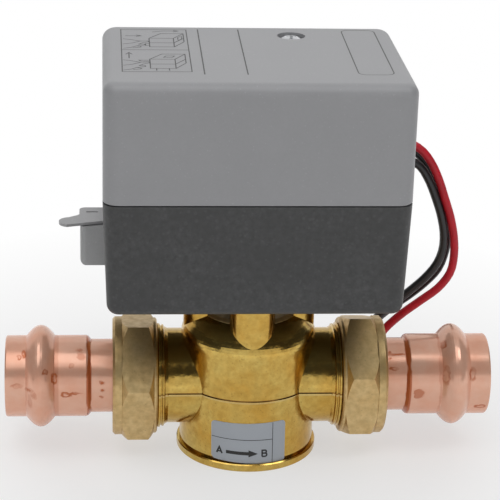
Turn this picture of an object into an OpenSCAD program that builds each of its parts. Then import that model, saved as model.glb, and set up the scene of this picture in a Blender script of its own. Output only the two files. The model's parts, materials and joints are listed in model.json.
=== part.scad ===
// Two-way zone valve with press ends and a spring-return motor actuator.
// Millimetres. +X runs along the pipe from port A to port B, +Y points to the back, +Z is up.
// The origin is on the floor under the centre of the brass body.

/* [Valve body] */
// Height of the pipe axis above the foot
port_axis_z = 22.4; // [20:0.1:26]
// Radius of the upright barrel
barrel_r = 20.4; // [18:0.1:23]
// Radius of the foot rim
foot_r = 21.3; // [19:0.1:24]
// Height of the foot rim
foot_h = 2.3; // [1.5:0.1:4]
// Depth of the groove over the foot rim
foot_groove = 0.45; // [0.2:0.05:1]
// Height where the barrel starts to round inward
shoulder_z = 36.0; // [34:0.1:38]
// Radius of the rounded shoulder
shoulder_round = 9.2; // [8:0.1:12]
// Radius of the pipe arms
arm_r = 14.4; // [13:0.1:16]
// Distance from the centre to the end of each pipe arm
arm_end_x = 24.5; // [22:0.1:28]
// Radius of the ring behind each union thread
thread_ring_r = 15.8; // [15:0.1:17]
// Crest radius of the union thread
union_thread_r = 14.9; // [14:0.1:16]
// Pitch of the union thread
union_thread_pitch = 1.8; // [1.2:0.1:2.4]
// Depth of the union thread
union_thread_depth = 0.75; // [0.4:0.05:1.2]
// Distance from the centre to the sealing face of each union
union_face_x = 34.2; // [32:0.1:37]
// Radius of the waterway through the arms
waterway_r = 8.0; // [6:0.1:9]
// Radius of the chamber round the paddle
chamber_r = 13.4; // [13:0.1:13.8]
// Depth of the dished recess under the foot
foot_recess = 1.0; // [0.5:0.1:2]
// Height of the chamber floor
chamber_floor_z = 8.5; // [6:0.1:12]
// Width of the ridge left by the forging dies
flash_w = 0.7; // [0.3:0.05:1.5]
// Height of the ridge left by the forging dies
flash_h = 0.3; // [0.1:0.05:0.6]

/* [Actuator mount] */
// Radius of each mounting lug
lug_r = 6.7; // [5:0.1:8]
// Distance from the centre to a lug's outer face
lug_face_r = 19.8; // [18.5:0.1:20.2]
// Height of the actuator's underside
base_z = 54.6; // [52:0.1:58]
// Radius of the circle of mounting screws
mount_screw_pcr = 17.2; // [16:0.1:18]
// Radius of a mounting screw's shank
mount_screw_r = 1.25; // [1:0.05:1.5]
// Length of a mounting screw's shank under its head
mount_screw_l = 9.0; // [6:0.5:12]
// Radius of a mounting screw's head
mount_head_r = 2.2; // [1.8:0.1:2.4]
// Height of a mounting screw's head
mount_head_h = 1.5; // [1:0.1:2.5]

/* [Paddle and stem] */
// Distance of the stem axis behind the pipe axis
stem_y = 10.0; // [8:0.1:11]
// Radius of the stem
stem_r = 2.5; // [2:0.1:3]
// Height of the stem's lower end
stem_low_z = 31.2; // [30:0.1:33]
// Radius of the rubber ball that shuts the port
ball_r = 7.2; // [6:0.1:8]
// Inner radius of the seat
seat_r = 6.0; // [5:0.1:7]
// Wall of the seat ring
seat_wall = 2.6; // [1.5:0.1:3]
// Length of the seat ring
seat_l = 6.4; // [4:0.1:8]
// Clearance between ball and seat when shut
seat_gap = 0.3; // [0.1:0.05:0.5]
// Thickness of the arm over the ball
paddle_arm_t = 1.6; // [1:0.1:2.5]
// Width of the arm over the ball
paddle_arm_w = 5.0; // [4:0.1:7]
// Radius of the bonnet that carries the stem
bonnet_r = 14.4; // [14.2:0.1:14.6]
// Height of the bonnet's lower face
bonnet_low_z = 39.0; // [36:0.1:42]
// Thickness of the bonnet
bonnet_t = 6.6; // [6.4:0.1:9]
// Depth of the seal's groove round the bonnet
bonnet_groove_d = 1.3; // [1:0.1:1.6]
// Running clearance of the stem in its bonnet
stem_clear = 0.05; // [0.01:0.01:0.1]

/* [Union nuts and press ends] */
// Distance across the flats of the union nuts
nut_af = 34.8; // [34:0.1:38]
// Distance from the centre to a nut's inner face
nut_in_x = 27.7; // [26.8:0.1:29]
// Length of a union nut
nut_l = 13.3; // [11:0.1:17]
// Wall of the nut's outer web
nut_web = 2.4; // [1.5:0.1:4]
// Length of the round collar on each nut's outer end
nut_collar_l = 2.2; // [0.5:0.1:3]
// Length of the round lip on each nut's inner end
nut_lip_l = 0.8; // [0.3:0.1:2]
// Clearance between a nut and what turns inside it
nut_clear = 0.3; // [0.1:0.05:0.5]
// Turn of the hexagon of the nut at port A
nut_a_turn_deg = 21; // [0:0.5:59]
// Turn of the hexagon of the nut at port B
nut_b_turn_deg = 10.5; // [0:0.5:59]
// Outer radius of the copper tube
tube_r = 11.1; // [10:0.05:12]
// Wall of the copper tube
tube_wall = 1.1; // [0.7:0.05:1.5]
// Bore radius of the press socket
socket_bore_r = 11.25; // [11.15:0.05:11.5]
// Distance from the centre to the step into the socket
socket_step_x = 47.5; // [45:0.1:50]
// Distance from the centre to the socket's rim
socket_end_x = 73.0; // [70:0.1:76]
// Distance from the centre to the middle of the bead
bead_x = 62.6; // [60:0.1:66]
// Outer radius of the bead
bead_r = 15.4; // [14.5:0.1:16]
// Half width of the bead
bead_half_w = 4.3; // [3.4:0.1:4.9]
// Radius of the flange on each tailpiece
flange_r = 14.2; // [13:0.1:14.5]
// Thickness of the flange on each tailpiece
flange_t = 2.0; // [1.5:0.1:3]
// Thickness of the union gasket
gasket_t = 1.6; // [1:0.1:2.5]
// Inner radius of the union gaskets
gasket_in_r = 9.4; // [9:0.1:11]
// Outer radius of the union gaskets
gasket_out_r = 13.9; // [12.5:0.1:14]
// Thickness of the press seal ring
seal_r = 1.5; // [1:0.05:1.6]

/* [Actuator case] */
// Width of the case along the pipe
case_w = 87.0; // [80:0.5:95]
// Depth of the case
case_d = 66.0; // [55:0.5:75]
// Height of the seam between base and cover
seam_z = 88.2; // [84:0.1:92]
// Height of the cover's top
cover_top_z = 123.2; // [116:0.1:130]
// Narrowing of the base on each side at its underside
base_draft = 1.1; // [0:0.1:3]
// Radius of the case's upright corners
case_corner = 4.6; // [2:0.1:8]
// Radius of the edge round the cover's top
cover_edge = 3.4; // [1:0.1:4]
// Radius of the edge round the base's underside
base_edge = 3.8; // [1:0.1:5]
// Distance of the case's centre to the left of the pipe's centre
case_off_x = 0.5; // [0:0.1:2]
// Bevel on both edges along the seam
seam_bevel = 0.2; // [0.1:0.05:0.5]
// Wall of base and cover
wall = 2.4; // [1.6:0.1:3]
// Distance of the chassis posts inside the case's side walls
post_edge_x = 10.5; // [8:0.5:14]
// Distance of the chassis posts inside the case's front and back walls
post_edge_y = 6.6; // [5.6:0.1:9]
// Width of the groove at the seam
seam_gap = 0.3; // [0.1:0.05:1]
// Distance of the cover screw to the right of the centre
cover_screw_x = 12; // [8:0.5:20]
// Distance of the cover screw inside the case's back wall
cover_screw_edge = 12; // [9:0.5:18]
// Length of the cover screw's shank
cover_screw_l = 27.5; // [22:0.5:32]
// Radius of the recess round the cover screw
screw_recess_r = 4.2; // [3.5:0.1:6]
// Depth of the recess round the cover screw
screw_recess_d = 3.4; // [2:0.1:6]
// Radius of the cover screw's head
cover_head_r = 3.4; // [2.5:0.1:4]
// Radius of the cover screw's shank
cover_shank_r = 1.6; // [1.2:0.05:2]

/* [Manual lever and button] */
// Height of the lever's upper face
lever_top_z = 74.0; // [70:0.1:76]
// Thickness of the lever
lever_t = 0.8; // [0.8:0.1:2]
// Distance of the lever plate's end from the centre
lever_end_x = 50.8; // [48:0.1:54]
// Distance of the finger tab's end from the centre
tab_end_x = 56.7; // [54:0.1:62]
// Half width of the lever plate outside the case
lever_half_w = 7.0; // [5:0.1:9]
// How far behind the middle the lever's slot reaches
slot_back_y = 26.6; // [25:0.1:28]
// Width of the lever inside the case
lever_strip_w = 8.0; // [6:0.1:10]
// Full turn of the lever from shut to open
travel_deg = 24; // [18:1:28]
// Width of the release button
button_w = 13.6; // [10:0.1:16]
// Height of the release button
button_h = 12.0; // [9:0.1:13]
// Distance that the button stands proud of the case
button_proud = 6.5; // [5:0.1:9]
// Travel of the release button
button_travel = 3.0; // [2:0.1:4]
// Clearance round moving parts in the case wall
slot_clear = 0.4; // [0.2:0.05:0.8]

/* [Gear train] */
// Module of the gears
gear_module = 0.8; // [0.6:0.05:1]
// Teeth on the full circle of the sector
sector_teeth = 50; // [40:1:60]
// Teeth on each pinion
pinion_teeth = 10; // [10:1:14]
// Teeth on the idler wheel
wheel_teeth = 25; // [20:1:30]
// Side play of each gear's tooth at its pitch circle
gear_play = 0.1; // [0.05:0.01:0.2]
// Height of the sector's lower face
sector_z = 59.0; // [58:0.1:61]
// Thickness of the sector
sector_t = 4.0; // [3:0.1:5]
// Thickness of the idler wheel
wheel_t = 3.0; // [2:0.1:4]
// Radius of the drive hub
hub_r = 5.0; // [4:0.1:6]
// Height of the hub's lower end
hub_low_z = 57.6; // [57.2:0.1:58.5]
// Radius of the idler pin
idler_pin_r = 1.5; // [1:0.05:2]
// Running clearance of the idler on its pin
idler_clear = 0.05; // [0.01:0.01:0.1]
// Wire radius of the return spring
spring_wire_r = 0.5; // [0.3:0.05:0.8]
// Coil radius of the return spring
spring_coil_r = 6.3; // [6:0.1:8]
// Turns of the return spring
spring_turns = 5; // [3:0.5:7]
// Height of the return spring's lowest coil
spring_z = 64.6; // [64:0.1:66]
// Height of the return spring over all its coils
spring_h = 6.2; // [4:0.1:7]

/* [Motor and switch] */
// Height of the chassis plate's underside
plate_z = 77.0; // [76.6:0.1:80]
// Thickness of the chassis plate
plate_t = 1.2; // [0.8:0.1:2]
// Length of the plate screws' shanks
plate_screw_l = 7.5; // [5:0.5:9]
// Distance of the motor to the right of the centre
motor_x = 12.0; // [10:0.5:14]
// Distance of the motor in front of the centre
motor_y = -6.5; // [-7:0.5:-4]
// Radius of the motor's gear case
gearcase_r = 20.0; // [16:0.5:22]
// Height of the motor's gear case
gearcase_h = 10.0; // [8:0.5:12]
// Radius of the motor can
motor_r = 21.5; // [18:0.5:21.5]
// Height of the motor can
motor_h = 17.0; // [12:0.5:20]
// Distance of each motor ear's hole from the motor's centre
ear_reach = 24.2; // [23:0.1:25]
// Length of the end switch
switch_l = 20.0; // [16:0.5:22]
// Distance of the end switch inside the case's left wall
switch_edge = 9.5; // [9:0.1:11]
// Thickness of the end switch
switch_w = 6.4; // [5:0.1:7]
// Height of the end switch
switch_h = 10.2; // [8:0.1:10.5]
// Radius of the switch plunger
plunger_r = 1.1; // [0.8:0.1:1.5]
// Travel of the switch plunger
plunger_travel = 1.2; // [0.5:0.1:2]

/* [Leads] */
// Radius of each lead
lead_r = 1.35; // [1:0.05:1.6]
// Spacing of the leads in the grommet
lead_pitch = 3.4; // [3:0.1:5]
// Distance of the grommet's centre to the right of the centre
grommet_x = 33.0; // [26:0.5:34]
// Height of the grommet's centre
grommet_z = 82.6; // [80:0.1:84]
// Half length of the grommet's opening
grommet_half_l = 5.6; // [5:0.1:7]
// Radius of the ends of the grommet's opening
grommet_r = 2.6; // [2:0.1:3.5]
// Middle radius of each coil of lead
coil_r = 13.8; // [12:0.1:14]

/* [Hidden] */
$fn = 64;
far = 200;
cut = 0.01;

nut_out_x = nut_in_x + nut_l;
nut_bore_r = union_thread_r + nut_clear;
gasket_x = union_face_x + 0.05;
flange_x = gasket_x + gasket_t + 0.05;
socket_wall = 1.05;
socket_r = socket_bore_r + socket_wall;
lug_top_z = base_z - 0.05;
bonnet_top_z = bonnet_low_z + bonnet_t;
bonnet_bore_r = bonnet_r + 0.1;
seal_slack = 0.02;
bonnet_seal_z = bonnet_low_z + 1.3;
stem_seal_z = [bonnet_top_z - 3.1, bonnet_top_z - 1.2];
bonnet_seal_r = (bonnet_bore_r - bonnet_r + bonnet_groove_d) / 2 - seal_slack;
stem_top_z = lever_top_z - 0.1;
stem_flat = 0.65;
ball_arm_y = stem_y;
seat_x = sqrt((ball_r + seat_gap) * (ball_r + seat_gap) - seat_r * seat_r);
floor_z = base_z + wall;
lever_z = lever_top_z - lever_t;
button_top_z = lever_z - 0.3;
button_z = button_top_z - button_h;
case_x = case_w / 2;
case_y = case_d / 2;
left_x = case_x + case_off_x;
sector_r = gear_module * sector_teeth / 2;
pinion_r = gear_module * pinion_teeth / 2;
wheel_r = gear_module * wheel_teeth / 2;
idler_x = sector_r + pinion_r;
idler_y = stem_y;
motor_pinion_y = idler_y - wheel_r - pinion_r;
wheel_z = sector_z + sector_t + 1;
motor_z = plate_z + plate_t;
can_z = motor_z + gearcase_h;
ear_turn = 35;
post_x = case_x - post_edge_x;
post_y = case_y - post_edge_y;
cover_screw_y = case_y - cover_screw_edge;
post_r = 3.0;
plate_screw_r = 1.2;
switch_x = -(case_x - switch_edge);
switch_y = -13.6;
switch_low_z = plate_z - 0.3 - switch_h;
plunger_x = -29;
plunger_z = lever_z + lever_t / 2;
lever_front_y = stem_y - (stem_y / (left_x - 3)) * (-plunger_x) - lever_strip_w / 2;
coil_y = 56.5;
coil_x = [36, 1.8, -32.4];
coil_low_z = 0.1;

red_path = [[36.4, 31, 82.6], [36.4, 35.2, 82.6], [38.2, 38.6, 83.7], [42, 40, 84.7], [47, 40, 84.8],
    [52.2, 40, 84], [56.6, 40, 81.5], [60, 40, 77.2], [62.7, 40, 71.7],
    [65, 40, 65.4], [67.2, 40, 59], [68.7, 40, 52.4], [69.2, 40, 46.4],
    [68.4, 40, 40.2], [64.9, 40, 34.8], [59, 40, 30], [52.6, 40, 24.9],
    [47.4, 40, 19.4], [44.4, 40.2, 12.8], [42.6, 40.8, 7.2], [40, 41.2, 3.2],
    [36, 41.4, 1.6], [32, 41.9, 1.5]];
outer_path = [[33, 31, 82.6], [33, 35.2, 82.6], [34.6, 40.2, 82.6], [39, 43, 82.5], [46, 43.6, 82],
    [52, 43.6, 81.1], [56.4, 43.6, 78.8], [59.7, 43.6, 74.4], [62.4, 43.6, 68.5],
    [64.7, 43.6, 62.5], [66.4, 43.6, 56.4], [67.3, 43.6, 50], [66.7, 43.6, 45],
    [64.9, 43.6, 39.8], [61.1, 43.6, 35.2], [55.9, 43.6, 30.6], [50.2, 43.6, 26.3],
    [44.6, 42.6, 21.6], [39.6, 40.6, 16], [35, 38.8, 10.4], [30, 37.6, 5.6],
    [24.4, 37.2, 2.6], [18, 37.8, 1.6], [11, 39.6, 1.5], [5, 41.1, 1.5], [1.8, 41.4, 1.5]];
inner_path = [[29.6, 31, 82.6], [29.6, 35.2, 82.6], [31, 38.8, 80.4], [36, 40, 79], [44, 40, 78.9],
    [51, 40, 78.8], [56.1, 40, 76.4], [59.3, 40, 71.8], [62, 40, 65.6],
    [64.1, 40, 59.6], [65.4, 40, 53.3], [65.3, 40, 47.9], [63.6, 40, 42.8],
    [60.1, 40, 38.1], [55.4, 40, 33.6], [50, 39.6, 29], [44.4, 38.8, 24.2],
    [38.6, 37.6, 18.8], [32.6, 36.2, 13], [26.4, 34.8, 7.8], [19.8, 33.8, 4],
    [12.6, 33.4, 2], [5, 33.6, 1.5], [-4, 34.6, 1.5], [-14, 37, 1.5],
    [-22.6, 39.4, 1.5], [-29.2, 41.1, 1.5], [-32.4, 41.4, 1.5]];

valve_body();
seat_ring();
bonnet();
bonnet_seal();
stem_seals();
stem_clip();
stem();
paddle_arm();
paddle_ball();
union_gaskets();
press_tailpieces();
press_seals();
union_nut_a();
union_nut_b();
actuator_base();
mount_screws();
drive_hub();
sector_gear();
manual_lever();
hub_screw();
return_spring();
idler_pin();
idler_gear();
chassis_plate();
plate_screws();
gear_case();
motor_can();
motor_screws();
motor_pinion();
end_switch();
switch_terminals();
switch_plunger();
release_button();
actuator_cover();
cover_screw();
cover_post();
lead_grommet();
lead_red();
lead_black_inner();
lead_black_outer();
coil_red();
coil_black_inner();
coil_black_outer();

// ---------- shared shapes ----------

// A solid of revolution about the pipe axis; the profile is [x, radius] points for port B.
module on_pipe(side, points, fine = 72) {
    translate([0, 0, port_axis_z])
        mirror([side < 0 ? 1 : 0, 0, 0])
            rotate([0, 90, 0])
                rotate_extrude($fn = fine)
                    polygon([for (p = points) [p[1], p[0]]]);
}

// A round rod along the pipe axis from x0 to x1.
module pipe_rod(side, x0, x1, r) {
    on_pipe(side, [[x0, 0], [x1, 0], [x1, r], [x0, r]]);
}

// A rectangle with round corners, made of circles and squares.
module round_rect(w, d, r) {
    square([w - 2 * r, d], center = true);
    square([w, d - 2 * r], center = true);
    for (sx = [-1, 1], sy = [-1, 1])
        translate([sx * (w / 2 - r), sy * (d / 2 - r)])
            circle(r, $fn = 48);
}

// A straight stretch of case wall on both sides: the outline's points are inset and height, from the
// lowest up.
module case_slab(half, length, outline) {
    rotate([90, 0, 0])
        translate([0, 0, -length / 2])
            linear_extrude(length)
                polygon(concat([for (p = outline) [half - p[0], p[1]]],
                    [for (i = [len(outline) - 1:-1:0]) [outline[i][0] - half, outline[i][1]]]));
}

// A case shell's solid: two straight stretches crossed and a turned piece in each upright corner.
module case_form(inset, outline) {
    r = inset_corner(inset);
    half_w = case_x - inset;
    half_d = case_y - inset;
    low = outline[0][1];
    high = outline[len(outline) - 1][1];
    translate([-case_off_x, 0, 0]) {
        case_slab(half_w, 2 * (half_d - r), outline);
        rotate([0, 0, 90])
            case_slab(half_d, 2 * (half_w - r), outline);
        for (sx = [-1, 1], sy = [-1, 1])
            translate([sx * (half_w - r), sy * (half_d - r), 0])
                rotate_extrude($fn = 64)
                    polygon(concat([[0, low]], [for (p = outline) [r - p[0], p[1]]], [[0, high]]));
    }
}

// The radius of the case's upright corners after an inset.
function inset_corner(inset) = max(case_corner - 0.6 * inset, base_draft + 1.2);

// The base narrows downward and has a round lower edge; inside, it runs on past the seam.
function base_outline(inset, low) = let(limit = inset_corner(inset) - base_draft - 0.3,
        r = max(0.7, min(base_edge - inset, limit)))
    concat([for (a = [-90:10:0]) [base_draft + r - r * cos(a), low + r + r * sin(a)]],
        inset > 0 ? [[0, seam_z], [0, seam_z + 1]] : [[0, seam_z - seam_bevel], [seam_bevel, seam_z]]);

// The cover's upright walls and round upper edge.
function cover_outline(inset, low) = let(top = cover_top_z - inset,
        r = max(0.8, min(cover_edge - inset, inset_corner(inset) - 0.3)))
    concat(inset > 0 ? [[0, low]] : [[seam_bevel, low], [0, low + seam_bevel]],
        [for (a = [0:10:90]) [r - r * cos(a), top - r + r * sin(a)]]);

// The base's outline shrunk by an inset on every side and raised by a lift.
module base_solid(inset, lift) {
    case_form(inset, base_outline(inset, base_z + lift));
}

// The cover's outline shrunk by an inset on every side.
module cover_solid(inset, z0) {
    case_form(inset, cover_outline(inset, z0));
}

// A flat ring's or plate's outline that follows the case, shrunk by an inset.
module case_flat(inset, corner) {
    translate([-case_off_x, 0])
        round_rect(case_w - 2 * inset, case_d - 2 * inset, corner);
}

// A gear's outline with involute flanks; only teeth from first to last are cut.
function involute(angle) = tan(angle) - angle * PI / 180;
function half_tooth(r, rp, rb, z) = 180 / PI * (PI / (2 * z) - gear_play / rp
    + involute(25) - involute(acos(min(1, rb / max(r, rb)))));
function gear_points(z, first, last) = let(
        rp = gear_module * z / 2,
        rb = rp * cos(25),
        ra = rp + 0.85 * gear_module,
        rf = rp - 1.1 * gear_module,
        steps = [0, 0.35, 0.7, 1])
    [for (k = [first:last]) let(c = k * 360 / z)
        each concat(
            [rf * [cos(c - half_tooth(rb, rp, rb, z)), sin(c - half_tooth(rb, rp, rb, z))]],
            [for (s = steps) let(r = max(rf, rb) + s * (ra - max(rf, rb)), a = half_tooth(r, rp, rb, z))
                r * [cos(c - a), sin(c - a)]],
            [for (s = [1, 0.7, 0.35, 0])
                let(r = max(rf, rb) + s * (ra - max(rf, rb)), a = half_tooth(r, rp, rb, z))
                r * [cos(c + a), sin(c + a)]],
            [rf * [cos(c + half_tooth(rb, rp, rb, z)), sin(c + half_tooth(rb, rp, rb, z))]])];

module whole_gear(z, height) {
    linear_extrude(height)
        polygon(gear_points(z, 0, z - 1));
}

// A screw with a round head and a cross recess, head up, seated at z = 0.
module pan_screw(shank_r, shank_l, head_r, head_h, slot_w) {
    difference() {
        union() {
            translate([0, 0, -shank_l])
                cylinder(r = shank_r, h = shank_l + cut, $fn = 24);
            rotate_extrude($fn = 36)
                polygon([[0, 0], [head_r, 0], [head_r, head_h * 0.45], [head_r * 0.86, head_h * 0.8],
                    [head_r * 0.6, head_h], [0, head_h]]);
        }
        for (a = [0, 90])
            rotate([0, 0, a])
                translate([-head_r * 0.62, -slot_w / 2, head_h * 0.45])
                    cube([head_r * 1.24, slot_w, head_h]);
    }
}

// A round tube swept through a list of points, closed at both ends.
function unit(v) = v / norm(v);
function along(p, i) = unit(p[min(i + 1, len(p) - 1)] - p[max(i - 1, 0)]);
module swept_tube(points, r, sides = 8) {
    n = len(points);
    rings = [for (i = [0:n - 1])
        let(d = along(points, i), u = unit(cross([0.1, 1, 0.05], d)), v = cross(d, u))
        for (k = [0:sides - 1]) points[i] + r * (cos(k * 360 / sides) * u + sin(k * 360 / sides) * v)];
    faces = concat(
        [[for (k = [0:sides - 1]) k]],
        [for (i = [0:n - 2], k = [0:sides - 1])
            [i * sides + k, (i + 1) * sides + k,
                (i + 1) * sides + (k + 1) % sides, i * sides + (k + 1) % sides]],
        [[for (k = [sides - 1:-1:0]) (n - 1) * sides + k]]);
    polyhedron(points = rings, faces = faces, convexity = 6);
}

// ---------- valve body ----------

// A lug is an upright post whose foot runs out on the rounded shoulder.
module body_lug(turn) {
    rotate([0, 0, turn])
        translate([0, -(lug_face_r - lug_r), shoulder_z + 0.5])
            cylinder(r = lug_r, h = lug_top_z - shoulder_z - 0.5, $fn = 72);
}

// The round shoulder as points of radius and height, from the barrel to inside the bonnet's bore.
function shoulder_arc() = let(last = acos(1 - (barrel_r - bonnet_bore_r + 0.4) / shoulder_round))
    [for (i = [0:14]) [barrel_r - shoulder_round * (1 - cos(last * i / 14)),
        shoulder_z + shoulder_round * sin(last * i / 14)]];
function shoulder_top() = let(arc_points = shoulder_arc()) arc_points[len(arc_points) - 1][1];

module body_outside() {
    rotate_extrude($fn = 128)
        polygon(concat([[0, 0], [foot_r - 0.2, 0], [foot_r, 0.2], [foot_r, foot_h - 0.3],
            [foot_r - 0.3, foot_h], [barrel_r - foot_groove, foot_h], [barrel_r - foot_groove, foot_h + 0.5],
            [barrel_r, foot_h + 0.5 + foot_groove]], shoulder_arc(),
            [[0, shoulder_top()]]));
    for (turn = [0, 90, 180, 270])
        body_lug(turn);
    for (side = [-1, 1]) {
        pipe_rod(side, 0, arm_end_x + cut, arm_r);
        on_pipe(side, [[arm_end_x, 0], [nut_in_x - 0.1, 0], [nut_in_x - 0.1, thread_ring_r - 0.3],
            [nut_in_x - 0.4, thread_ring_r], [nut_in_x - 0.9, thread_ring_r],
            [nut_in_x - 1.1, thread_ring_r - 0.6],
            [nut_in_x - 1.4, thread_ring_r - 0.6], [nut_in_x - 1.6, thread_ring_r - 0.3],
            [nut_in_x - 2.0, thread_ring_r - 0.3], [nut_in_x - 2.3, thread_ring_r - 0.9],
            [arm_end_x, arm_r]], 96);
        on_pipe(side, concat([[nut_in_x - 0.2, 0]], thread_profile(), [[union_face_x, 0]]), 96);
    }
}

function thread_count() = floor((union_face_x - nut_in_x - 1) / union_thread_pitch);
function thread_profile() = concat(
    [[nut_in_x - 0.2, union_thread_r - union_thread_depth]],
    [for (i = [0:thread_count() - 1]) let(x = nut_in_x + 0.4 + i * union_thread_pitch)
        each [[x, union_thread_r - union_thread_depth],
            [x + union_thread_pitch * 0.35, union_thread_r],
            [x + union_thread_pitch * 0.6, union_thread_r],
            [x + union_thread_pitch * 0.95, union_thread_r - union_thread_depth]]],
    [[union_face_x, union_thread_r - union_thread_depth]]);

module valve_body() {
    color([0.72, 0.55, 0.24])
        difference() {
            union() {
                body_outside();
                die_ridge();
            }
            translate([0, 0, chamber_floor_z])
                cylinder(r = chamber_r, h = 60, $fn = 96);
            translate([0, 0, bonnet_low_z - 0.02])
                cylinder(r = bonnet_bore_r, h = 60, $fn = 96);
            translate([0, 0, -cut])
                cylinder(r1 = barrel_r - 3.6, r2 = barrel_r - 4.6, h = foot_recess, $fn = 96);
            for (side = [-1, 1])
                pipe_rod(side, 5, union_face_x + 1, waterway_r);
            on_pipe(1, [[0, 0], [0, seat_r + seat_wall + 0.02], [seat_x + seat_l, seat_r + seat_wall + 0.02],
                [seat_x + seat_l, 0]]);
            for (turn = [0, 90, 180, 270])
                rotate([0, 0, turn])
                    translate([0, -mount_screw_pcr, lug_top_z - mount_screw_l])
                        cylinder(r = mount_screw_r + 0.02, h = mount_screw_l + 1, $fn = 32);
        }
    color([0.72, 0.55, 0.24])
        seat_wall_block();
}

// The wall across the chamber that holds the seat ring.
module seat_wall_block() {
    difference() {
        intersection() {
            translate([0, 0, chamber_floor_z - 1])
                cylinder(r = chamber_r + 0.5, h = bonnet_low_z - chamber_floor_z + 0.6, $fn = 96);
            translate([seat_x + 1, -far / 2, 0])
                cube([far, far, far]);
        }
        on_pipe(1, [[0, 0], [0, seat_r + seat_wall + 0.02], [seat_x + seat_l, seat_r + seat_wall + 0.02],
            [seat_x + seat_l, 0]]);
        pipe_rod(1, 0, far, waterway_r);
        translate([0, stem_y, chamber_floor_z])
            cylinder(r = stem_r + 3.5, h = far, $fn = 48);
    }
}

// The thin ridge left where the two forging dies met, at the height of the pipe axis.
module die_ridge() {
    translate([0, 0, port_axis_z])
        rotate_extrude($fn = 128)
            translate([barrel_r + flash_h - flash_w / 2, 0])
                circle(flash_w / 2, $fn = 24);
    for (face = [-1, 1])
        translate([-arm_end_x, face * (arm_r + flash_h - flash_w / 2), port_axis_z])
            rotate([0, 90, 0])
                cylinder(r = flash_w / 2, h = 2 * arm_end_x, $fn = 24);
}

module seat_ring() {
    color([0.8, 0.8, 0.78])
        on_pipe(1, [[seat_x, seat_r], [seat_x + seat_l, seat_r], [seat_x + seat_l, seat_r + seat_wall],
            [seat_x + 0.6, seat_r + seat_wall], [seat_x + 0.3, seat_r + seat_wall - 0.3],
            [seat_x + 0.3, seat_r + 0.8], [seat_x, seat_r + 0.4]], 96);
}

module bonnet() {
    color([0.75, 0.6, 0.3])
        difference() {
            rotate_extrude($fn = 96)
                polygon([[0, bonnet_low_z], [bonnet_r - 0.3, bonnet_low_z], [bonnet_r, bonnet_low_z + 0.3],
                    [bonnet_r, bonnet_top_z - 0.9], [bonnet_r - 0.9, bonnet_top_z], [0, bonnet_top_z]]);
            translate([0, stem_y, bonnet_low_z - 1])
                cylinder(r = stem_r + stem_clear, h = bonnet_t + 2, $fn = 48);
            translate([0, 0, bonnet_seal_z - 0.9])
                ring_cut(bonnet_r + 0.1, bonnet_r - bonnet_groove_d, 1.8);
            for (z = stem_seal_z)
                translate([0, stem_y, z - 0.7])
                    cylinder(r = stem_r + 1.3, h = 1.4, $fn = 48);
            for (s = [-1, 1])
                translate([s * 7, -4, bonnet_top_z - 2])
                    cylinder(r = 1.6, h = 3, $fn = 32);
        }
}

module ring_cut(r_out, r_in, h) {
    difference() {
        cylinder(r = r_out, h = h, $fn = 96);
        translate([0, 0, -1])
            cylinder(r = r_in, h = h + 2, $fn = 96);
    }
}

module bonnet_seal() {
    color([0.1, 0.1, 0.1])
        translate([0, 0, bonnet_seal_z])
            rotate_extrude($fn = 72)
                translate([bonnet_bore_r - seal_slack - bonnet_seal_r, 0])
                    circle(bonnet_seal_r, $fn = 20);
}

module stem_seals() {
    color([0.1, 0.1, 0.1])
        for (z = stem_seal_z)
            translate([0, stem_y, z])
                rotate_extrude($fn = 48)
                    translate([stem_r + 0.68, 0])
                        circle(0.6, $fn = 20);
}

module stem_clip() {
    color([0.7, 0.7, 0.72])
        translate([0, stem_y, bonnet_top_z + 0.3])
            difference() {
                cylinder(r = stem_r + 1.8, h = 0.8, $fn = 48);
                translate([0, 0, -1])
                    cylinder(r = stem_r - 0.45, h = 3, $fn = 48);
                translate([-0.9, 0, -1])
                    cube([1.8, 8, 3]);
            }
}

module stem() {
    color([0.75, 0.76, 0.78])
        difference() {
            translate([0, stem_y, stem_low_z])
                rotate_extrude($fn = 48)
                    polygon([[0, 0], [stem_r, 0], [stem_r, bonnet_top_z + 0.28 - stem_low_z],
                        [stem_r - 0.5, bonnet_top_z + 0.28 - stem_low_z],
                        [stem_r - 0.5, bonnet_top_z + 1.12 - stem_low_z],
                        [stem_r, bonnet_top_z + 1.12 - stem_low_z],
                        [stem_r, stem_top_z - 0.4 - stem_low_z], [stem_r - 0.4, stem_top_z - stem_low_z],
                        [0, stem_top_z - stem_low_z]]);
            for (s = [-1, 1])
                translate([s * (stem_r - stem_flat) - (s < 0 ? 2 : 0), stem_y - 4, hub_low_z])
                    cube([2, 8, far]);
            translate([0, stem_y, stem_top_z - 8])
                cylinder(r = 0.9, h = 10, $fn = 24);
        }
}

module paddle_arm() {
    arm_z = stem_low_z - 0.1 - paddle_arm_t;
    color([0.72, 0.73, 0.75])
        union() {
            translate([0, 0, arm_z])
                linear_extrude(paddle_arm_t)
                    union() {
                        translate([0, stem_y])
                            circle(stem_r + 0.6, $fn = 48);
                        translate([-paddle_arm_w / 2, stem_y - ball_arm_y])
                            square([paddle_arm_w, ball_arm_y]);
                        circle(paddle_arm_w / 2, $fn = 48);
                    }
            translate([0, 0, port_axis_z])
                cylinder(r = 1.6, h = arm_z + 0.4 - port_axis_z, $fn = 32);
        }
}

module paddle_ball() {
    color([0.12, 0.12, 0.12])
        translate([0, 0, port_axis_z])
            difference() {
                rotate_extrude($fn = 72)
                    intersection() {
                        circle(ball_r, $fn = 96);
                        translate([0, -ball_r + 0.7])
                            square([ball_r + 1, 2 * ball_r - 1.1]);
                    }
                translate([0, 0, -0.05])
                    cylinder(r = 1.62, h = ball_r + 1, $fn = 32);
            }
}

// ---------- unions ----------

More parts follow.
